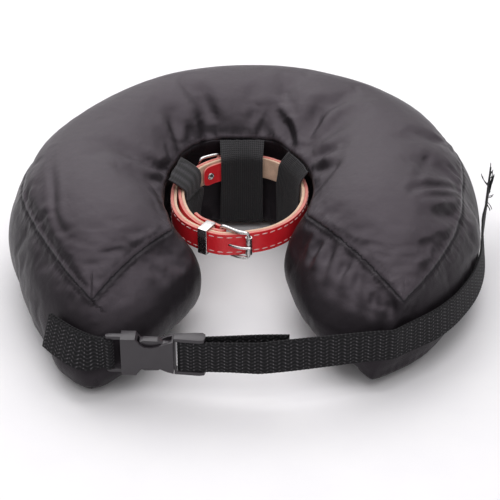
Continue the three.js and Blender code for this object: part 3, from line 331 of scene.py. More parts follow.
def buildGrain():  # pebbled skin of leather and moulded plastic, from 0 to 1
    inputs = {"Place": "NodeSocketVector", "Size": "NodeSocketFloat"}
    bench, given, made = newGroup("grain", inputs, "Height")
    rate = bench.maths("DIVIDE", 1.0, given["Size"])
    cells = bench.node("ShaderNodeTexVoronoi", Vector=given["Place"], Scale=rate)
    cloud = bench.node("ShaderNodeTexNoise", Vector=given["Place"], Scale=rate, Detail=3.0)
    mixed = bench.maths("MULTIPLY_ADD", cells.outputs["Distance"], -0.6, cloud.outputs["Fac"])
    bench.feed(made, bench.maths("ADD", mixed, 0.35))
    return bench.tree


mottle = buildMottle()
weave = buildWeave()
grain = buildGrain()

# The pale table, a little uneven as paper is.
tablePlan = {
    "size": 9.0,
    "colour": (0.88, 0.875, 0.88),
    "shade": (0.84, 0.835, 0.85),
    "roughness": 0.9,
    "mottle": 0.05,
}


def addTable(plan):
    bpy.ops.mesh.primitive_plane_add(size=plan["size"])
    table = bpy.context.object
    table.name = "table"
    paper = Finish("paper", plan["colour"], plan["roughness"], Specular_IOR_Level=0.1)
    tone = paper.effect(mottle, Place=paper.place, Size=plan["mottle"], Contrast=1.6)
    paper.colour(paper.blend(tone, plan["shade"], plan["colour"]))
    table.data.materials.append(paper.material)


addTable(tablePlan)

# The cushion. A row of its sections has the outer top seam's turn, reach and height, the neck seam's turn
# and reach and the bottom seam's turn and reach, from the left end of the C round the back to the right end.
# Turns are degrees, and reaches and heights are shares of the sizes above them. A crease has its depth and
# width in millimetres and the places that it runs through. A negative depth stands up.
cushionPlan = {
    "outerRadius": 167,
    "neckRadius": 61,
    "seamHeight": 86,
    "sections": [
        (225.5, 0.95, 0.79, 237, 1.46, 230.5, 1.06),
        (216, 0.95, 0.88, 225, 1.24, 218, 1.05),
        (206, 0.955, 0.94, 208, 1.07, 205, 1.03),
        (193, 0.985, 0.98, 192, 0.96, 192, 1.005),
        (178, 1.045, 1.0, 176, 0.91, 178, 1.03),
        (160, 1.075, 1.01, 158, 0.9, 160, 1.055),
        (140, 1.07, 1.03, 138, 0.98, 140, 1.06),
        (116, 1.1, 1.05, 115, 1.05, 116, 1.085),
        (92, 1.13, 1.05, 90, 1.0, 92, 1.11),
        (68, 1.125, 1.05, 65, 1.05, 68, 1.105),
        (44, 1.13, 1.03, 40, 0.92, 44, 1.105),
        (20, 1.07, 1.01, 18, 0.9, 20, 1.055),
        (0, 0.985, 1.0, -2, 0.91, 0, 1),
        (-16, 0.965, 0.96, -18, 0.96, -18, 0.99),
        (-32, 0.95, 0.88, -33, 1.05, -38, 0.98),
        (-46, 0.955, 0.79, -47.5, 1.2, -56, 0.95),
    ],
    "creases": [
        (3.0, 7, [(-39, 120, 114), (-34, 105, 106), (-29, 94, 95)]),
        (2.5, 5, [(-39, 95, 102), (-34, 91, 94), (-29, 88, 86)]),
        (2.5, 5, [(-61, 93, 109), (-58, 80, 102), (-55, 72, 95)]),
        (2.0, 4, [(-49, 87, 101), (-44, 81, 90)]),
        (3.0, 5, [(17, 106, 107), (13, 96, 98), (9, 90, 88)]),
        (3.5, 5, [(29, 96, 103), (32, 85, 97), (35, 75, 90)]),
        (4.5, 6, [(60, 102, 114), (53, 84, 106), (44, 66, 96)]),
        (-2.5, 4, [(26, 113, 109), (32, 93, 104), (40, 72, 95)]),
        (3.5, 6, [(71, 46, 107), (60, 45, 101), (48, 48, 91)]),
        (2.5, 5, [(65, 19, 103), (49, 34, 88)]),
        (3.0, 5, [(-75, 33, 98), (-67, 33, 92), (-61, 50, 80)]),
        (2.0, 4, [(-75, 9, 97), (-64, 20, 85)]),
        (2.0, 4, [(8, 107, 106), (3, 97, 98)]),
        (2.2, 3.2, [(122, -27, 108), (131, -20, 107), (145, -12, 103), (162, 2, 91)]),
        (1.2, 3.2, [(121, -31, 108), (134, 9, 108), (148, 58, 102)]),
        (1.5, 3.0, [(152, 60, 101), (161, 66, 90), (166, 56, 87)]),
        (1.3, 3.0, [(153, 23, 102), (164, 20, 91)]),
        (2.6, 6, [(133, -45, 100), (144, -42, 96), (155, -34, 89)]),
        (1.8, 5, [(123, -74, 91), (134, -74, 85)]),
        (1.3, 3.0, [(127, -34, 105), (143, -25, 102), (161, -6, 90)]),
        (1.5, 3.2, [(-151, 37, 105), (-146, -19, 105), (-141, -53, 98), (-131, -71, 95)]),
        (1.4, 3.0, [(-161, -39, 85), (-146, -42, 99)]),
        (1.2, 3.0, [(-170, -12, 86), (-165, 0, 96)]),
        (1.0, 3.0, [(-88, -73, 94), (-80, -75, 85)]),
        (1.4, 3.0, [(-126, -97, 75), (-119, -105, 71)]),
        (2.4, 4, [(56, -50, 82), (47, -61, 71)]),
        (2.6, 4, [(61, -56, 83), (58, -76, 66)]),
        (3.0, 4, [(73, -74, 79), (65, -91, 60)]),
        (3.0, 4, [(82, -86, 76), (76, -101, 58)]),
        (2.6, 4, [(94, -99, 72), (90, -110, 58)]),
        (2.2, 4, [(100, -104, 71), (103, -116, 58)]),
        (1.4, 4, [(-71, -80, 77), (-63, -84, 68)]),
    ],
    "footHeight": 8,
    "endArch": 6,
    "seamSteps": 240,
    "endSteps": 40,
    "seamStep": 1.0 * mm,  # between the points that a seam is followed by
    "voxel": 4.0 * mm,
    "startInset": 1.0 * mm,  # the shape starts this much slimmer and is blown up
    "frames": 20,
    "pressure": 3.0,
    "growth": -0.06,  # the cloth is this much larger than the shape that it is sewn to, where it is full
    "calmGrowth": -0.012,  # and elsewhere
    "stiffness": 12.0,
    "bending": 0.3,
    "pinReach": 3.0 * mm,  # cloth this near a seam is held by it
    "cap": 9.0 * mm,  # the furthest that a point moves
    "outLimit": 3.0 * mm,  # how far the cloth may stand proud of the solid
    "neckLimit": 0.2 * mm,  # the same in the neck hole
    "strapLimit": 1.9 * mm,  # and under the strap
    # Where the cloth swells: the middle in millimetres, the reach, and how sharply it starts.
    "swells": {
        "corner": ((-112, -136, 12), 55 * mm, 2.0),  # the left end's bottom corner, which is blunt
        "gap": ((-50, -54, 40), 46 * mm, 1.3),  # the left end's side towards the gap
        "shoulder": ((178, -22, 68), 32 * mm, 1.3),  # the right side above the strap
    },
    "cornerSwell": 1.5 * mm,
    "footSwell": 5.0 * mm,  # more of it below the strap
    "gapSwell": 4.5 * mm,
    "shoulderSwell": 3.0 * mm,
    "grooveDepth": 0.65 * mm,
    "grooveWidth": 1.7 * mm,
    "ridgeHeight": 0.4 * mm,
    "ridgePlace": 4.5 * mm,
    "ridgeWidth": 2.4 * mm,
    "seamReach": 20 * mm,  # of what a seam does to the cloth
    "foldReach": 4 * mm,  # the painted light of the top panel and the painted shade of the walls part sharply this near a seam
    "clearance": 0.3 * mm,  # above the table
}


def seamLoop(plan, top):  # places along a seam all round, each with the way that its panel lies
    outer, inner = [], []
    foot = plan["footHeight"]
    for turn, reach, height, neckTurn, neckReach, footTurn, footReach in plan["sections"]:
        if top:
            outer.append(polar(0, 0, turn, reach * plan["outerRadius"], height * plan["seamHeight"]))
        else:
            outer.append(polar(0, 0, footTurn, footReach * plan["outerRadius"], foot))
        neckHeight = plan["seamHeight"] if top else foot
        inner.append(polar(neckX, neckY, neckTurn, neckReach * plan["neckRadius"], neckHeight))
    steps = plan["seamSteps"]
    ends = plan["endSteps"]
    outerLine = [curveThrough(outer, k / steps) for k in range(steps + 1)]
    innerLine = [curveThrough(inner, k / steps) for k in range(steps + 1)]

    def end(start, stop):
        line = [start.lerp(stop, k / ends) for k in range(ends + 1)]
        for k, place in enumerate(line):
            place.z += plan["endArch"] * mm * math.sin(math.pi * k / ends) * top
        return line

    sides = [
        (outerLine, [(b - a).normalized() for a, b in zip(outerLine, innerLine)]),
        (end(outerLine[-1], innerLine[-1]), None),
        (innerLine[::-1], [(b - a).normalized() for a, b in zip(innerLine[::-1], outerLine[::-1])]),
        (end(innerLine[0], outerLine[0]), None),
    ]
    loop = []
    for line, inwards in sides:
        for k in range(len(line) - 1):
            way = (line[k + 1] - line[k]).normalized()
            inward = inwards[k] if inwards else Vector((way.y, -way.x, 0))
            if not inwards and inward.dot((outerLine[steps // 2] - line[k])) < 0:
                inward = -inward
            parts = max(1, round((line[k + 1] - line[k]).length / plan["seamStep"]))
            for part in range(parts):
                loop.append((line[k].lerp(line[k + 1], part / parts), inward))
    return loop


def treeOf(places):
    tree = KDTree(len(places))
    for n, place in enumerate(places):
        tree.insert(place, n)
    tree.balance()
    return tree


def fromSeam(place, tree, loop, sense):  # distance from the seam, positive on its panel
    nearest, n, distance = tree.find(place)
    offset = place - nearest
    side = offset.dot(loop[n][1]) + sense * offset.z
    return (distance if side >= 0 else -distance), n


def swellShare(place, swell):  # from 0 at the swell's reach to 1 at its middle
    middle, reach, sharpness = swell
    return smoothStep(sharpness * (1 - (place - spot(*middle)).length / reach))


def swellAt(place, plan):
    share = {name: swellShare(place, swell) for name, swell in plan["swells"].items()}
    belowStrap = smoothStep((0.031 - place.z) / 0.012)
    aboveStrap = smoothStep((place.z - 0.050) / 0.008)
    swell = (plan["cornerSwell"] + plan["footSwell"] * belowStrap) * share["corner"]
    return swell + plan["gapSwell"] * share["gap"] + plan["shoulderSwell"] * share["shoulder"] * aboveStrap


def buildCushion(plan):
    piece = copyOf("cushion", "cushion_cloth")
    loops = [(seamLoop(plan, True), 1), (seamLoop(plan, False), -1)]
    trees = [treeOf([place for place, inward in loop]) for loop, sense in loops]
    mesh = piece.data
    corners = [v.co.copy() for v in mesh.vertices]
    solid = BVHTree.FromPolygons(corners, [face.vertices[:] for face in mesh.polygons])
    finishWith(piece, "REMESH", mode="VOXEL", voxel_size=plan["voxel"], use_smooth_shade=True)
    groups = {name: piece.vertex_groups.new(name=name) for name in ("sewn", "full", "corner")}
    for v, normal in [(v, v.normal.copy()) for v in mesh.vertices]:
        near = min(tree.find(v.co)[2] for tree in trees)
        blunt = swellShare(v.co, plan["swells"]["corner"])
        groups["corner"].add([v.index], blunt, "REPLACE")
        groups["full"].add([v.index], fullness(v.co), "REPLACE")
        if near < plan["pinReach"] and blunt < 0.05:
            groups["sewn"].add([v.index], 1.0, "REPLACE")
        else:
            v.co -= normal * plan["startInset"]
    blowUp(piece, plan)
    finishWith(piece, "SMOOTH", factor=0.5, iterations=40, vertex_group="corner")
    for v, normal in [(v, v.normal.copy()) for v in mesh.vertices]:
        swell = swellAt(v.co, plan)
        v.co += normal * swell
        place, normal, face, distance = solid.find_nearest(v.co)
        proud = (v.co - place).dot(normal) - limitAt(v.co, plan) - swell
        if proud > 0:
            v.co -= normal * proud
    finishWith(piece, "SUBSURF", levels=1, render_levels=1)
    pressCreases(piece, plan["creases"])
    sewSeams(piece, plan, loops, trees)
    piece.vertex_groups.clear()
    bpy.ops.object.shade_smooth()
    return piece


def fullness(place):  # how much the cloth gathers there
    away = place - neckCentre
    turn = math.degrees(math.atan2(away.y, away.x))
    fromNeck = away.to_2d().length

    def rises(value, start, over):
        return smoothStep((value - start) / over)

    back = rises(turn, -10, 25) * rises(-turn, -185, 25)
    gathers = back * rises(-fromNeck, -0.125, 0.04) * rises(place.z, 0.08, 0.006)
    right = hump(turn - 5, 35) * rises(fromNeck, 0.10, 0.03) * rises(place.z, 0.06, 0.02)
    rightEnd = hump(turn + 55, 14) * rises(fromNeck, 0.055, 0.02) * rises(-place.z, -0.092, 0.01)
    return min(1.0, gathers + 0.8 * right + rightEnd)


def limitAt(place, plan):  # how far the cloth may stand proud of the solid there
    fromNeck = (place - neckCentre).to_2d().length
    inNeck = fromNeck < 0.075 and place.z < 0.083 and place.y > -0.06
    underStrap = 0.022 < place.z < 0.060 and fromNeck > 0.1
    return plan["neckLimit"] if inNeck else plan["strapLimit"] if underStrap else plan["outLimit"]


def pressCreases(piece, creases):  # each is a valley between two low shoulders, or a ridge
    places = placesOf(piece.data)
    normals = normalsOf(piece.data)
    parts = 24
    for depth, width, route in creases:
        points = [spot(*place) for place in route]
        line = np.array([curveThrough(points, k / parts)[:] for k in range(parts + 1)])
        near = np.full(len(places), 1.0)
        along = np.zeros(len(places))
        close = np.linalg.norm(places - line.mean(0), axis=1) < 0.06 + 6 * width * mm
        for k in range(parts):
            start, way = line[k], line[k + 1] - line[k]
            share = np.clip((places[close] - start) @ way / (way @ way), 0, 1)
            distance = np.linalg.norm(places[close] - start - share[:, None] * way, axis=1)
            better = distance < near[close]
            where = np.flatnonzero(close)[better]
            near[where] = distance[better]
            along[where] = (k + share[better]) / parts
        fade = np.sin(np.pi * np.clip(along, 0.06, 0.94)) ** 0.6
        valley = np.exp(-((near / (width * mm)) ** 2))
        shoulder = 0.4 * np.exp(-(((near - 2 * width * mm) / (1.1 * width * mm)) ** 2))
        shape = depth * mm * fade * (shoulder - valley)
        places += normals * shape[:, None].astype(np.float32)
    moveTo(piece, places)


def blowUp(piece, plan):  # the cloth is blown up by its filling and held by its seams
    before = [v.co.copy() for v in piece.data.vertices]
    makeActive(piece)
    cloth = piece.modifiers.new("filling", "CLOTH")
    cloth.settings.quality = 5
    cloth.settings.tension_stiffness = plan["stiffness"]
    cloth.settings.compression_stiffness = plan["stiffness"]
    cloth.settings.shear_stiffness = plan["stiffness"] / 2
    cloth.settings.bending_stiffness = plan["bending"]
    cloth.settings.use_pressure = True
    cloth.settings.uniform_pressure_force = plan["pressure"]
    cloth.settings.shrink_min = plan["calmGrowth"]
    cloth.settings.shrink_max = plan["growth"]
    cloth.settings.vertex_group_shrink = "full"
    cloth.settings.vertex_group_mass = "sewn"
    cloth.settings.effector_weights.gravity = 0
    cloth.collision_settings.use_collision = False
    for number in range(1, plan["frames"] + 1):
        bpy.context.scene.frame_set(number)
    bpy.ops.object.modifier_apply(modifier=cloth.name)
    for v, old in zip(piece.data.vertices, before):
        move = v.co - old
        if move.length > plan["cap"]:
            v.co = old + move.normalized() * plan["cap"]


def sewSeams(piece, plan, loops, trees):
    normals = [v.normal.copy() for v in piece.data.vertices]
    reach = plan["seamReach"]
    away = [reach] * len(normals)  # from the nearest seam, negative on the walls
    far = [reach] * len(normals)  # the same without a sign
    along = [0.0] * len(normals)
    litTopShare = [smoothStep((normal.z - 0.5) / 0.3) for normal in normals]  # 1 on the top panel, which is painted lighter as lit, and 0 on the walls, painted darker as shaded
    for (loop, sense), tree in zip(loops, trees):
        for v, normal in zip(piece.data.vertices, normals):
            n = v.index
            signed, mark = fromSeam(v.co, tree, loop, sense)
            distance = abs(signed)
            if distance > reach:
                continue
            if distance < abs(away[n]):
                away[n], far[n], along[n] = signed, distance, mark * plan["seamStep"]
                if distance < plan["foldReach"] and sense > 0:
                    litTopShare[n] = 1.0 if signed > 0 else 0.0
            gathers = 0.6 + 0.8 * noise.noise(v.co * 90)
            ridge = plan["ridgeHeight"] * gathers * hump(distance - plan["ridgePlace"], plan["ridgeWidth"])
            v.co += normal * (ridge - plan["grooveDepth"] * hump(distance, plan["grooveWidth"]))
    for v in piece.data.vertices:
        v.co.z = max(v.co.z, plan["clearance"])
    for name, numbers in (("seamAway", away), ("seamFar", far), ("seamAlong", along), ("litTopShare", litTopShare)):
        setNumbers(piece, name, numbers)


clothPlan = {
    "colour": (0.02, 0.017, 0.02),
    "paintedLitTop": ((0.044, 0.037, 0.043), (0.060, 0.051, 0.059)),  # the top panel, painted lighter as light falling on it, from dark to light
    "deep": ((0.008, 0.0065, 0.008), (0.013, 0.0108, 0.013)),  # the walls, painted darker as shade
    "lint": (0.027, 0.0235, 0.0265),
    "stitching": (0.006, 0.006, 0.007),
    "roughness": (0.38, 0.47),
    "weavePitch": 0.7 * mm,
    "seamLine": (0.5 * mm, 1.6 * mm),  # dark up to the first distance, gone at the second
    "seamGroove": 2.6 * mm,
    "puckerReach": (1 * mm, 16 * mm),
}


def seamRelief(cloth, away, plan):  # a narrow groove along the seam, and puckers that run out from it
    smooth = {"interpolation_type": "SMOOTHSTEP"}
    groove = cloth.spread(away, smooth, From_Max=plan["seamGroove"], To_Max=0.9)
    outwards = cloth.maths("MULTIPLY", away, 0.25)
    place = cloth.node("ShaderNodeCombineXYZ", X=cloth.attribute("seamAlong"), Y=outwards).outputs[0]
    pucker = cloth.node("ShaderNodeTexNoise", Vector=place, Scale=160.0, Detail=1.0).outputs["Fac"]
    near, gone = plan["puckerReach"]
    fade = cloth.spread(away, smooth, From_Min=near, From_Max=gone, To_Min=3.0, To_Max=0.0)
    return cloth.maths("MULTIPLY_ADD", pucker, fade, groove)


def clothFinish(plan):
    cloth = Finish("cloth", plan["colour"], 0.42, Sheen_Weight=0.02, Sheen_Roughness=0.4,
                   Specular_IOR_Level=0.25, Specular_Tint=(1.0, 0.9, 0.99, 1.0))
    broad = cloth.effect(mottle, Place=cloth.place, Size=0.05, Contrast=2.2)
    fine = cloth.effect(mottle, Place=cloth.place, Size=0.006, Contrast=1.6)
    # Painted light and shade: the top panel, which faces up, is lighter and the walls darker.
    top, walls = [cloth.blend(broad, *plan[name]) for name in ("paintedLitTop", "deep")]
    tone = cloth.blend(cloth.attribute("litTopShare"), walls, top)
    tone = cloth.blend(cloth.maths("MULTIPLY", fine, 0.2), tone, plan["lint"])
    # The unsigned distance keeps the line to the seam itself.
    beyond = cloth.maths("SUBTRACT", cloth.attribute("seamFar"), 2.5 * mm)
    away = cloth.maths("MAXIMUM", cloth.maths("ABSOLUTE", cloth.attribute("seamAway")), beyond)
    dark, gone = plan["seamLine"]
    line = cloth.spread(away, {"interpolation_type": "SMOOTHSTEP"}, From_Min=dark, From_Max=gone)
    cloth.colour(cloth.blend(line, plan["stitching"], tone))
    cloth.rough(broad, *plan["roughness"])
    threads = cloth.effect(weave, Place=cloth.place, Pitch=plan["weavePitch"])
    creases = cloth.effect(mottle, Place=cloth.place, Size=0.012, Contrast=1.0)
    under = cloth.bump(cloth.maths("ADD", creases, seamRelief(cloth, away, plan)), 0.0009, 0.7)
    cloth.bump(threads, 0.00008, 0.6, under)
    return cloth.material


cushion = buildCushion(cushionPlan)
cushion.data.materials.append(clothFinish(clothPlan))
settle(cushion, "cushion")
print("cushion stuffed", len(cushion.data.polygons), "faces")


def evenly(route, step):  # places at even distances along a smooth curve through the route, in millimetres
    points = [Vector((*place, 0, 0)[:3]) for place in route]
    parts = 8 * (len(points) - 1)
    fine = np.array([curveThrough(points, k / parts)[:] for k in range(parts + 1)])
    run = np.concatenate([[0], np.cumsum(np.linalg.norm(np.diff(fine[:, :2], axis=0), axis=1))])
    marks = np.linspace(0, run[-1], max(2, round(run[-1] / step)) + 1)
    return np.stack([np.interp(marks, run, fine[:, n]) for n in range(3)], axis=1), marks


# A strip that stands on edge along a route of (x, y) or (x, y, lean) in millimetres. The lean is how far the
# top edge lies to the right of the bottom edge. The strip's start narrows in a curve of the tip's radius.
def layStrip(name, route, plan, tip=0):
    line, marks = evenly(route, plan["step"])
    ways = np.gradient(line[:, :2], axis=0)
    ways /= np.linalg.norm(ways, axis=1)[:, None]
    sides = np.stack([-ways[:, 1], ways[:, 0]], axis=1)
    sheet = addGrid(name, len(marks) - 1, plan["acrossSteps"])
    along, across = unitSquare(sheet)
    n = np.rint(along * (len(marks) - 1)).astype(int)
    width = np.full(len(marks), float(plan["width"]))
    if tip:
        fromCurve = 1 - np.clip(marks / tip, 0, 1)
        width *= 0.45 + 0.55 * np.sqrt(1 - fromCurve ** 2)
    flat = line[n, :2] + sides[n] * (line[n, 2] * (0.5 - across))[:, None]
    height = plan["bottom"] + plan["width"] / 2 + (across - 0.5) * width[n]
    places = np.column_stack([flat, height]) * mm + np.array(centre[:])
    moveTo(sheet, places)
    setNumbers(sheet, "along", marks[n].astype(np.float32))
    setNumbers(sheet, "across", (across * plan["width"]).astype(np.float32))
    finishes = [plan[name] for name in ("face", "edge") if name in plan]
    for finish in finishes:
        sheet.data.materials.append(finish)
    return finishWith(sheet, "SOLIDIFY", thickness=plan["thickness"] * mm, offset=0, use_even_offset=True,
                      use_rim=True, material_offset_rim=1 if finishes else 0)


def addThread(name, places, radius, sides=6):  # a round thread through the places
    sheet = addGrid(name, len(places) - 1, sides)
    along, around = unitSquare(sheet)
    last = len(places) - 1
    frames = []
    side = None
    for n in range(len(places)):
        way = (places[min(last, n + 1)] - places[max(0, n - 1)]).normalized()
        side = side or (up if abs(way.z) < 0.9 else Vector((1, 0, 0)))
        side = (side - way * side.dot(way)).normalized()
        frames.append((side, way.cross(side)))
    for v, u, w in zip(sheet.data.vertices, along, around):
        n = round(float(u) * last)
        reach = radius if 0 < n < last else 0
        angle = 2 * math.pi * float(w)
        v.co = places[n] + (math.cos(angle) * frames[n][0] + math.sin(angle) * frames[n][1]) * reach
    return tidyMesh(sheet)


def tidyMesh(piece):
    makeActive(piece)
    bpy.ops.object.mode_set(mode="EDIT")
    bpy.ops.mesh.select_all(action="SELECT")
    bpy.ops.mesh.remove_doubles(threshold=weldReach / 2)
    bpy.ops.mesh.normals_make_consistent(inside=False)
    bpy.ops.object.mode_set(mode="OBJECT")
    bpy.ops.object.shade_smooth()
    return piece


def joinAll(pieces, name):
    makeActive(pieces[0])
    for piece in pieces:
        piece.select_set(True)
    bpy.ops.object.join()
    pieces[0].name = name
    return pieces[0]


# The elastic bands, knitted in ribs that run from top to bottom.
bandPlan = {
    "thickness": 1.1 * mm,
    "downSteps": 84,
    "acrossSteps": 154,
    "ribs": 22,
    "ribHeight": 0.16 * mm,
    "ruffle": 0.8 * mm,  # of the sewn top edge
    # The knit is painted dark in the grooves between its ribs as shade, and lighter on the crests as light.
    "shadedGrooves": (0.003, 0.003, 0.0035),
    "litCrests": (0.036, 0.034, 0.039),
    "fuzz": (0.03, 0.028, 0.032),
    "coursePitch": 1.1 * mm,
}


def bandColumns(node):  # the middle of the CAD band, as columns of places from its top edge down
    rows = {}
    for v in node.data.vertices:
        away = v.co - neckCentre
        rows.setdefault(round(v.co.z, 4), []).append((math.atan2(away.y, away.x), away.to_2d().length))
    lines = []
    for height in sorted(rows, reverse=True):
        clusters = [[]]
        for turn, reach in sorted(rows[height]):
            if clusters[-1] and turn - clusters[-1][-1][0] > 0.03:
                clusters.append([])
            clusters[-1].append((turn, reach))
        line = []
        for cluster in clusters:
            turn = cluster[0][0]
            reach = (min(r for t, r in cluster) + max(r for t, r in cluster)) / 2
            line.append(neckCentre + Vector((reach * math.cos(turn), reach * math.sin(turn), height)))
        lines.append(line)
    return list(zip(*lines))


def buildBand(node, plan):
    columns = bandColumns(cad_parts[node])
    sheet = addGrid(node + "_knit", plan["acrossSteps"], plan["downSteps"])
    relief = []
    lines = [[curveThrough(column, k / plan["downSteps"]) for k in range(plan["downSteps"] + 1)]
             for column in columns]
    for v in sheet.data.vertices:
        u, down = v.co.x, v.co.y
        n = min(len(lines) - 2, int(u * (len(lines) - 1)))
        k = round(down * plan["downSteps"])
        place = lines[n][k].lerp(lines[n + 1][k], u * (len(lines) - 1) - n)
        outward = (place - neckCentre).to_2d().normalized().to_3d()
        rib = math.cos(2 * math.pi * plan["ribs"] * u)
        ruffle = noise.noise(Vector((u * 9, down * 4, len(node)))) * hump(down, 0.12)
        relief.append(rib)
        v.co = place + outward * (rib * plan["ribHeight"] + ruffle * plan["ruffle"])
    setNumbers(sheet, "rib", relief)
    setNumbers(sheet, "down", [v.co.z for v in sheet.data.vertices])
    finishWith(sheet, "SOLIDIFY", thickness=plan["thickness"], offset=0, use_rim=True)
    return tidyMesh(sheet)


def elasticFinish(plan):
    knit = Finish("elastic knit", plan["shadedGrooves"], 0.8, Sheen_Weight=0.1, Sheen_Roughness=0.5)
    ribs = knit.maths("MULTIPLY_ADD", knit.attribute("rib"), 0.5, 0.5)
    fuzz = knit.effect(mottle, Place=knit.place, Size=0.0015, Contrast=1.8)
    # Painted shade in the grooves and painted light on the crests, following the rib's height.
    tone = knit.blend(knit.maths("POWER", ribs, 1.5), plan["shadedGrooves"], plan["litCrests"])
    knit.colour(knit.blend(knit.maths("MULTIPLY", fuzz, 0.2), tone, plan["fuzz"]))
    knit.rough(fuzz, 0.72, 0.9)
    rate = 2 * math.pi / plan["coursePitch"]
    courses = knit.maths("SINE", knit.maths("MULTIPLY", knit.attribute("down"), rate))
    knit.bump(knit.maths("ADD", courses, fuzz), 0.00012, 0.7)
    return knit.material


elastic = elasticFinish(bandPlan)
for node in ("band_left", "band_centre", "band_right"):
    band = buildBand(node, bandPlan)
    band.data.materials.append(elastic)
    settle(band, node)
print("bands knitted")

# The red leather collar. It goes twice round at the buckle: a turn and how far the strap stands outside the
# ring there, as a share of its thickness. The tip comes first and the buckle's heel bar last.
leatherPlan = {
    "lap": [
        (164, -0.02), (176, 0), (190, 0.15), (208, 0.55), (226, 0.85), (246, 0.74), (256, 0.78), (265, 0.48),
        (277, 0.02), (292, 0), (440, 0), (464, -0.5), (484, -0.85), (505, -1.02), (525, -1.1), (546, -1.1),
        (566, -1.0), (588, -0.65), (606, -0.36), (616, -0.3),
    ],
    "ringRadius": 51.2,
    "ringFront": 10,
    "ringBack": 3.5,
    "total": 4.6,  # leather and lining together
    "lapStep": 4.9,
    "heelTurn": 256,
    "heelWrap": 2.9,
    "keeperTurn": 246,
    "slitTurn": 103.5,
    "slitLean": 6,
    "leather": {
        "step": 1.3, "acrossSteps": 14, "bottom": 57, "width": 18, "thickness": 2.2, "lift": 1.2,
    },
    "lining": {
        "step": 1.5, "acrossSteps": 12, "bottom": 57.1, "width": 17.8, "thickness": 2.05, "lift": -1.25,
    },
    "tab": {"step": 0.8, "acrossSteps": 14, "bottom": 56.3, "width": 17, "thickness": 1.75},
    "tip": 6,  # the radius that the strap's end narrows in
    "tabTip": 6.5,
    "edgeRounding": 0.4 * mm,
    "stitch": {"pitch": 6.3, "length": 5.0, "width": 0.46, "rows": (59.5, 72.5), "from": 166, "to": 520},
}


def tableAt(rows, x):  # a smooth value between a table's rows
    i = 0
    while i < len(rows) - 2 and x > rows[i + 1][0]:
        i += 1
    value = [rows[min(len(rows) - 1, max(0, n))][1] for n in range(i - 1, i + 3)]
    s = min(1, max(0, (x - rows[i][0]) / (rows[i + 1][0] - rows[i][0])))
    before, after = (value[2] - value[0]) / 2, (value[3] - value[1]) / 2
    return ((2 * s ** 3 - 3 * s * s + 1) * value[1] + (s ** 3 - 2 * s * s + s) * before
            + (3 * s * s - 2 * s ** 3) * value[2] + (s ** 3 - s * s) * after)


def onRing(turn, lift):  # a place on the leather ring, in millimetres from the middle
    rise = math.sin(math.radians(turn))
    swell = leatherPlan["ringBack" if rise > 0 else "ringFront"] * rise * rise
    reach = leatherPlan["ringRadius"] + swell + lift
    return neckX + reach * math.cos(math.radians(turn)), neckY + reach * math.sin(math.radians(turn))


def lapLift(turn):
    return tableAt(leatherPlan["lap"], turn) * leatherPlan["lapStep"]


def ringRoute(start, stop, liftAt, step=2.5):
    parts = max(1, round(abs(stop - start) / step))
    turns = [start + (stop - start) * k / parts for k in range(parts + 1)]
    return [onRing(turn, liftAt(turn)) for turn in turns]


def arcRoute(middle, radius, start, stop, parts):
    turns = [math.radians(start + (stop - start) * k / parts) for k in range(parts + 1)]
    return [(middle[0] + radius * math.cos(t), middle[1] + radius * math.sin(t)) for t in turns]


def buildLeather(plan):
    size, heel, wrap = plan["leather"], plan["heelTurn"], plan["heelWrap"]
    heelLift = lapLift(heel + 360) + size["lift"] - wrap
    keeper = lapLift(plan["keeperTurn"] + 360) - 6.3
    flap = [(225, keeper - 0.4), (233, keeper + 0.2), (246, keeper), (256, heelLift - wrap)]
    route = ringRoute(plan["lap"][0][0], heel + 360, lambda turn: lapLift(turn) + size["lift"])
    route += arcRoute(onRing(heel, heelLift), wrap, heel, heel + 180, 8)[1:-1]
    route += ringRoute(heel, 225, lambda turn: tableAt(flap, turn))
    return layStrip("collar_hide", route, size, plan["tip"])


def buildLining(plan):
    size = plan["lining"]
    stop = plan["heelTurn"] + 360 - math.degrees((plan["heelWrap"] + 2.2) / plan["ringRadius"])
    route = ringRoute(plan["lap"][0][0], stop, lambda turn: lapLift(turn) + size["lift"])
    return layStrip("collar_suede", route, size, plan["tip"])


def buildTab(plan):  # it lies inside the strap, comes out through the slit and goes round the ring's bar
    size, slit = plan["tab"], plan["slitTurn"]
    below = plan["total"] / 2 + 0.3 + 0.9
    barLift = lapLift(slit + 360) + plan["total"] / 2 + 0.3 + 1.3
    barTurn = slit + math.degrees(2.5 / (plan["ringRadius"] + barLift))
    lift = lapLift(slit + 360)
    route = ringRoute(130.5, slit + 2.01, lambda turn: lapLift(turn + 360) - below)
    route += [onRing(slit, lift - 0.55 * below), onRing(slit, lift + 0.1 * below)]
    route += arcRoute(onRing(barTurn, barLift), 2.5, barTurn - 90, barTurn + 70, 7)
    route += ringRoute(barTurn + 4.81, 127, lambda turn: lapLift(turn + 360) + below)
    return layStrip("ring_tab_hide", route, size, plan["tabTip"])


def cutWith(piece, cutter):
    finishWith(piece, "BOOLEAN", operation="DIFFERENCE", object=cutter, solver="EXACT")


def slitCutter(plan):
    x, y = onRing(plan["slitTurn"], lapLift(plan["slitTurn"] + 360))
    turn = math.radians(plan["slitTurn"] + plan["slitLean"])
    bpy.ops.mesh.primitive_cube_add(size=1, location=spot(x, y, 60.65), rotation=(0, 0, turn))
    bpy.ops.transform.resize(value=(9.2 * mm, 4.8 * mm, 25.9 * mm), orient_type="LOCAL")
    return bpy.context.object


def roundEdges(piece, width, segments=2, angle=50):
    finishWith(piece, "BEVEL", width=width, segments=segments, limit_method="ANGLE",
               angle_limit=math.radians(angle), use_clamp_overlap=True)
    bpy.ops.object.shade_smooth_by_angle(angle=math.radians(40))
    return piece


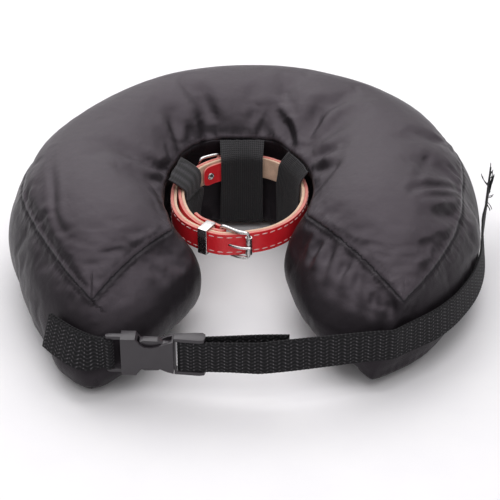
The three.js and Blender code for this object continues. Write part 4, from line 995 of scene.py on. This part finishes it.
def buildStitches(plan):
    bpy.ops.mesh.primitive_uv_sphere_add(segments=8, ring_count=6, radius=1)
    first = bpy.context.object
    bpy.ops.object.shade_smooth()
    stitches = []
    half = plan["leather"]["thickness"] / 2 + plan["leather"]["lift"]
    seam = plan["stitch"]
    size = Matrix.Diagonal((seam["length"] / 2 * mm, seam["width"] * 0.8 * mm, seam["width"] * mm, 1))
    turn, number = seam["from"], 0
    while turn < seam["to"]:
        x, y = onRing(turn, lapLift(turn) + half + 0.02)
        ahead = onRing(turn + 1, lapLift(turn + 1) + half)
        heading = math.atan2(ahead[1] - y, ahead[0] - x)
        for height in seam["rows"]:
            stitch = bpy.data.objects.new("stitch", first.data.copy())
            bpy.context.collection.objects.link(stitch)
            wobble = 0.12 * noise.noise(Vector((number * 0.7, height, 0)))
            lay = Matrix.Rotation(heading, 4, "Z") @ Matrix.Rotation(0.5 * wobble, 4, "Y")
            stitch.data.transform(Matrix.Translation(spot(x, y, height + wobble)) @ lay @ size)
            stitches.append(stitch)
        number += 1
        turn += math.degrees(seam["pitch"] / (plan["ringRadius"] + 8))
    bpy.data.objects.remove(first)
    return joinAll(stitches, "collar_stitches")


def leatherFinish(name, colour, deep, rough, grainSize):
    hide = Finish(name, colour, 0.4, Coat_Weight=0.06)
    slow = hide.effect(mottle, Place=hide.place, Size=0.009, Contrast=1.8)
    skin = hide.effect(grain, Place=hide.place, Size=grainSize)
    hide.colour(hide.blend(slow, deep, colour))
    hide.rough(slow, rough - 0.06, rough + 0.06)
    hide.bump(skin, 0.00015, 0.5)
    return hide.material


def suedeFinish(name, colour, deep):
    nap = Finish(name, colour, 0.9, Sheen_Weight=0.15)
    slow = nap.effect(mottle, Place=nap.place, Size=0.006, Contrast=2.2)
    fine = nap.effect(mottle, Place=nap.place, Size=0.0009, Contrast=2.2)
    tone = nap.blend(slow, deep, colour)
    nap.colour(nap.blend(nap.maths("MULTIPLY", fine, 0.3), tone, tuple(0.6 * c for c in deep)))
    nap.rough(fine, 0.82, 0.95)
    nap.bump(fine, 0.0002, 0.6)
    return nap.material


red = leatherFinish("red leather", (0.86, 0.024, 0.035), (0.74, 0.014, 0.023), 0.42, 0.0012)
redEdge = suedeFinish("cut edge of the leather", (0.74, 0.30, 0.25), (0.62, 0.19, 0.16))
suede = suedeFinish("tan suede", (0.78, 0.55, 0.40), (0.60, 0.40, 0.28))
for strip, face, edge in (("leather", red, redEdge), ("tab", red, redEdge), ("lining", suede, suede)):
    leatherPlan[strip].update(face=face, edge=edge)

prongCutter = copyOf("buckle_prong", "prong cutter")
finishWith(prongCutter, "DISPLACE", strength=0.25 * mm, mid_level=0)
slit = slitCutter(leatherPlan)
hide = buildLeather(leatherPlan)
lining = buildLining(leatherPlan)
tab = buildTab(leatherPlan)
for strip in (hide, lining):
    cutWith(strip, slit)
cutWith(hide, prongCutter)
for cutter in (slit, prongCutter):
    bpy.data.objects.remove(cutter)
for strip, slot, node in (
    (hide, "leather", "collar_leather"),
    (lining, "lining", "collar_lining"),
    (tab, "leather", "ring_tab"),
):
    settle(roundEdges(strip, leatherPlan["edgeRounding"]), node)
stitches = buildStitches(leatherPlan)
thread = suedeFinish("sewing thread", (0.92, 0.66, 0.64), (0.80, 0.50, 0.48))
stitches.data.materials.clear()
stitches.data.materials.append(thread)
settle(stitches)
print("leather collar sewn")

# The nickel-plated fittings.
metalPlan = {
    "wires": {"buckle_frame": 0.15, "buckle_prong": 0.11, "leash_ring": 0.13, "flap_rivet": 0.05,
              "tab_rivet": 0.05},  # how much each grows to make up for its smoothing, in millimetres
    "rounding": 0.45 * mm,
    "eyelet": {"turn": 122, "height": 64.8, "radius": 2.3, "wire": 0.65},
}


def smoothWire(node, name, grow):
    piece = copyOf(node, name)
    bpy.ops.object.mode_set(mode="EDIT")
    bpy.ops.mesh.select_all(action="SELECT")
    bpy.ops.mesh.tris_convert_to_quads(face_threshold=math.radians(60), shape_threshold=math.radians(80))
    bpy.ops.object.mode_set(mode="OBJECT")
    finishWith(piece, "SUBSURF", levels=2, render_levels=2)
    moveTo(piece, placesOf(piece.data) + normalsOf(piece.data) * grow * mm)
    bpy.ops.object.shade_smooth()
    return piece


def roundBlock(node, name, width, segments=2, angle=30):  # the CAD form with its edges rounded
    piece = copyOf(node, name)
    bpy.ops.object.mode_set(mode="EDIT")
    bpy.ops.mesh.select_all(action="SELECT")
    bpy.ops.mesh.dissolve_limited(angle_limit=math.radians(2))
    bpy.ops.object.mode_set(mode="OBJECT")
    return roundEdges(piece, width, segments, angle)


def buildEyelet(plan):  # the ring of the tab's rivet on its inner face
    x, y = onRing(plan["turn"], lapLift(plan["turn"] + 360) - 5.35)
    facing = math.radians(plan["turn"])
    bpy.ops.mesh.primitive_torus_add(major_radius=plan["radius"] * mm, minor_radius=plan["wire"] * mm,
                                     major_segments=32, minor_segments=10)
    ring = bpy.context.object
    lay = Matrix.Rotation(facing, 4, "Z") @ Matrix.Rotation(math.pi / 2, 4, "Y")
    ring.data.transform(Matrix.Translation(spot(x, y, plan["height"])) @ lay)
    ring.name = "tab_eyelet"
    bpy.ops.object.shade_smooth()
    return ring


def steelFinish():
    steel = Finish("nickel plate", (0.72, 0.71, 0.70), 0.2, Metallic=1.0)
    slow = steel.effect(mottle, Place=steel.place, Size=0.004, Contrast=2.0)
    steel.colour(steel.blend(slow, (0.56, 0.55, 0.54), (0.78, 0.77, 0.76)))
    steel.rough(slow, 0.14, 0.34)
    steel.bump(slow, 0.0002, 0.25)
    return steel.material


steel = steelFinish()
fittings = [(smoothWire(node, node + "_metal", grow), node) for node, grow in metalPlan["wires"].items()]
for node in ("buckle_roller", "collar_keeper"):
    fittings.append((roundBlock(node, node + "_metal", metalPlan["rounding"], 3), node))
fittings.append((buildEyelet(metalPlan["eyelet"]), None))
for piece, node in fittings:
    piece.data.materials.append(steel)
    settle(piece, node)
print("metal fittings polished")

# The webbing strap. The long part runs from its loose end at the right round the cushion to the clip's plug
# and doubles back behind itself. The short part is sewn to the left lobe and holds the clip's socket.
strapPlan = {
    "step": 0.8,
    "acrossSteps": 42,
    "bottom": 28.5,
    "width": 25,
    "thickness": 1.25,
    "ridgePitch": 2.8,  # of the zigzag ridges across the webbing, in millimetres
    "foldPitch": 8.6,  # of the zigzags along it
    "swing": 0.9,
    "beadPitch": 2.15,
    "relief": 0.3,
    "selvage": 0.18,
    "selvagePitch": 3.0,
    # The weave's valleys are painted dark as shade and its crests pale as painted highlights.
    "shadedValleys": (0.004, 0.004, 0.0045),
    "litCrests": (0.30, 0.285, 0.305),
    "fuzz": (0.035, 0.034, 0.037),
    "frayRadius": 0.33 * mm,
    # A frayed thread starts so far behind the strap's cut end and so high, and ends so far to the right,
    # ahead and up from there. The last number is how many lie side by side.
    "frays": [
        (1, 31, 0.5, 5, -2, 3), (1, 38, -1.2, 7, -1, 4), (1, 45, 1.0, 6, 1, 4), (1, 51, -0.5, 8, 1.5, 4),
        (24, 44, 2.4, 22, 5, 4), (30, 47, 3.0, 24, 3, 3), (20, 38, 1.8, 19, 4, 3),
        (38, 42, 4.5, -3, -5, 3), (36, 46, 4.0, 6, -1, 2),
        (26, 51, -6.5, 9, 5, 2),
    ],
    "long": [
        (201.8, 99.7, 0), (199.4, 87.6, 0), (196.9, 75.5, 0), (194.5, 63.4, 0), (192.1, 51.3, 0),
        (189.7, 39.2, 0), (187, 27.1, 1), (186, 20.7, 2), (184.7, 8.9, 3), (183.4, -2.2, 3.6),
        (182.1, -11.9, 3.8), (180.4, -21.7, 3.8), (178.2, -31.4, 3.6), (175.4, -40.9, 3.4),
        (172, -50.4, 3.1), (167.8, -59.8, 2.8), (162.8, -69.1, 2.6), (157.4, -78, 2.4),
        (151.8, -86.4, 2.3), (145.5, -94.1, 2.5), (139.1, -101.1, 2.5), (132.5, -107, 2.3),
        (125.6, -112.3, 1.9), (118.8, -117.2, 1.4), (112.1, -122.1, 0.9), (103, -128.5, 0.4),
        (91.2, -130.2, 0.9), (79.3, -132.1, 1.3), (67.4, -134.2, 1.8), (55.5, -136.4, 2.2),
        (43.6, -138.6, 2.7), (31.7, -140.8, 3.1), (19.8, -142.8, 3), (7.9, -144.6, 2.2),
        (-2.9, -144.2, 1.3), (-13.7, -143.8, 0.4), (-24.6, -143.5, 0), (-35.4, -143.1, 0),
        (-46.1, -142.7, 0), (-47.3, -142.4, 0), (-48.3, -141.7, 0), (-48.9, -140.7, 0),
        (-49.1, -139.5, 0), (-48.8, -138.3, 0), (-48.1, -137.3, 0), (-47.1, -136.7, 0),
        (-45.9, -136.5, 0), (-27.1, -136.6, -0.6), (-8.4, -136.1, -2), (10.4, -135.6, -3.4),
        (29.2, -135.7, -4),
    ],
    "short": [
        (-145.5, -111.2, -7.1), (-144.8, -112.2, -7.2), (-140.5, -117.2, -7.8), (-136, -121.9, -8.4),
        (-131.6, -126.2, -8.9), (-127.2, -130.5, -9.5), (-115.6, -138.1, -8.7), (-101.5, -138.6, 0),
        (-100, -140.4, 0), (-98.8, -140.8, 0), (-97.5, -140.8, 0), (-96.4, -140.1, 0), (-95.6, -139.1, 0),
        (-95.3, -137.9, 0), (-95.5, -136.6, 0), (-96.2, -135.5, 0), (-97.3, -134.9, 0),
        (-98.6, -134.7, 0), (-99.8, -135, 0), (-101.5, -136.7, 0), (-115.1, -136.3, 8.7),
        (-126.1, -129, 9.5), (-130.3, -124.9, 8.9), (-134.7, -120.5, 8.4), (-139.1, -115.9, 7.8),
        (-143.3, -111, 7.2), (-144, -110, 7.1),
    ],
}


def buildWebbing(name, route, plan):
    piece = layStrip(name, route, plan)
    along, across = numbersOf(piece, "along"), numbersOf(piece, "across")
    zigzag = np.abs((along / plan["foldPitch"]) % 1 * 2 - 1)
    ridge = 0.5 + 0.5 * np.cos(2 * np.pi * (across / plan["ridgePitch"] + plan["swing"] * zigzag))
    fold = np.minimum(zigzag, 1 - zigzag)
    beads = 0.5 + 0.5 * np.cos(2 * np.pi * along / plan["beadPitch"])
    height = ridge * (0.45 + 0.55 * beads) * (1 - 0.5 * np.exp(-((fold / 0.09) ** 2)))
    fromEdge = np.minimum(across, plan["width"] - across)
    edge = np.exp(-((fromEdge / 1.1) ** 2))
    bead = 0.5 + 0.5 * np.cos(2 * np.pi * along / plan["selvagePitch"])
    height = height * (1 - edge) + bead * edge * plan["selvage"] / plan["relief"]
    moveTo(piece, placesOf(piece.data) + normalsOf(piece.data) * (height * plan["relief"] * mm)[:, None])
    setNumbers(piece, "relief", height.astype(np.float32))
    makeActive(piece)
    bpy.ops.object.shade_smooth()
    return piece


def buildFrays(plan):  # bare threads about the cut end of the long strap
    start = Vector((*plan["long"][0][:2], 0))
    way = (start - Vector((*plan["long"][1][:2], 0))).normalized()
    right = Vector((way.y, -way.x, 0))
    threads = []
    for number, (back, height, aside, ahead, rise, count) in enumerate(plan["frays"]):
        for n in range(count):
            spread = Vector([noise.noise(Vector((n * 2.3, k, number))) for k in (1.5, 2.5, 3.5)])
            foot = start - way * back + up * (height + 1.4 * (n - (count - 1) / 2))
            tip = right * aside + way * ahead + up * rise + spread * 3
            places = []
            for k in range(9):
                s = k / 8
                bend = right * (aside * 0.8 * (s - s * s)) + spread * math.sin(5 * s) * 0.8
                places.append(spot(*(foot + tip * s + bend)))
            threads.append(addThread("fray", places, plan["frayRadius"]))
    return joinAll(threads, "strap_frays")


def webbingFinish(plan):
    web = Finish("webbing", plan["fuzz"], 0.7, Specular_IOR_Level=0.16)
    fuzz = web.effect(mottle, Place=web.place, Size=0.0012, Contrast=1.8)
    # Painted highlight on the crests of the weave and painted shade in its valleys, by the relief's height.
    crest = web.maths("POWER", web.attribute("relief"), 4.0)
    tone = web.blend(crest, plan["shadedValleys"], plan["litCrests"])
    web.colour(web.blend(web.maths("MULTIPLY", fuzz, 0.25), tone, plan["fuzz"]))
    web.rough(fuzz, 0.6, 0.8)
    web.bump(web.effect(weave, Place=web.place, Pitch=0.0005), 0.0001, 0.6)
    return web.material


webbing = webbingFinish(strapPlan)
longStrap = buildWebbing("strap_long_web", strapPlan["long"], strapPlan)
shortStrap = buildWebbing("strap_short_web", strapPlan["short"], strapPlan)
frays = buildFrays(strapPlan)
for piece, node in ((longStrap, "strap_long"), (shortStrap, "strap_short"), (frays, None)):
    piece.data.materials.clear()
    piece.data.materials.append(webbing)
    settle(piece, node)
print("strap woven", len(longStrap.data.polygons), "faces")

# The side-release clip, moulded with soft edges.
clipPlan = {
    "rounding": 0.55 * mm,
    "segments": 3,
    "colours": ((0.026, 0.022, 0.026), (0.036, 0.031, 0.036)),
}


def plasticFinish(plan):
    plastic = Finish("moulded plastic", plan["colours"][1], 0.42)
    slow = plastic.effect(mottle, Place=plastic.place, Size=0.008, Contrast=1.4)
    plastic.colour(plastic.blend(slow, *plan["colours"]))
    plastic.rough(slow, 0.27, 0.36)
    plastic.bump(plastic.effect(grain, Place=plastic.place, Size=0.0006), 0.00006, 0.5)
    return plastic.material


plastic = plasticFinish(clipPlan)
for node in ("clip_socket", "clip_plug"):
    shell = roundBlock(node, node + "_moulded", clipPlan["rounding"], clipPlan["segments"])
    shell.data.materials.append(plastic)
    settle(shell, node)
print("clip moulded")
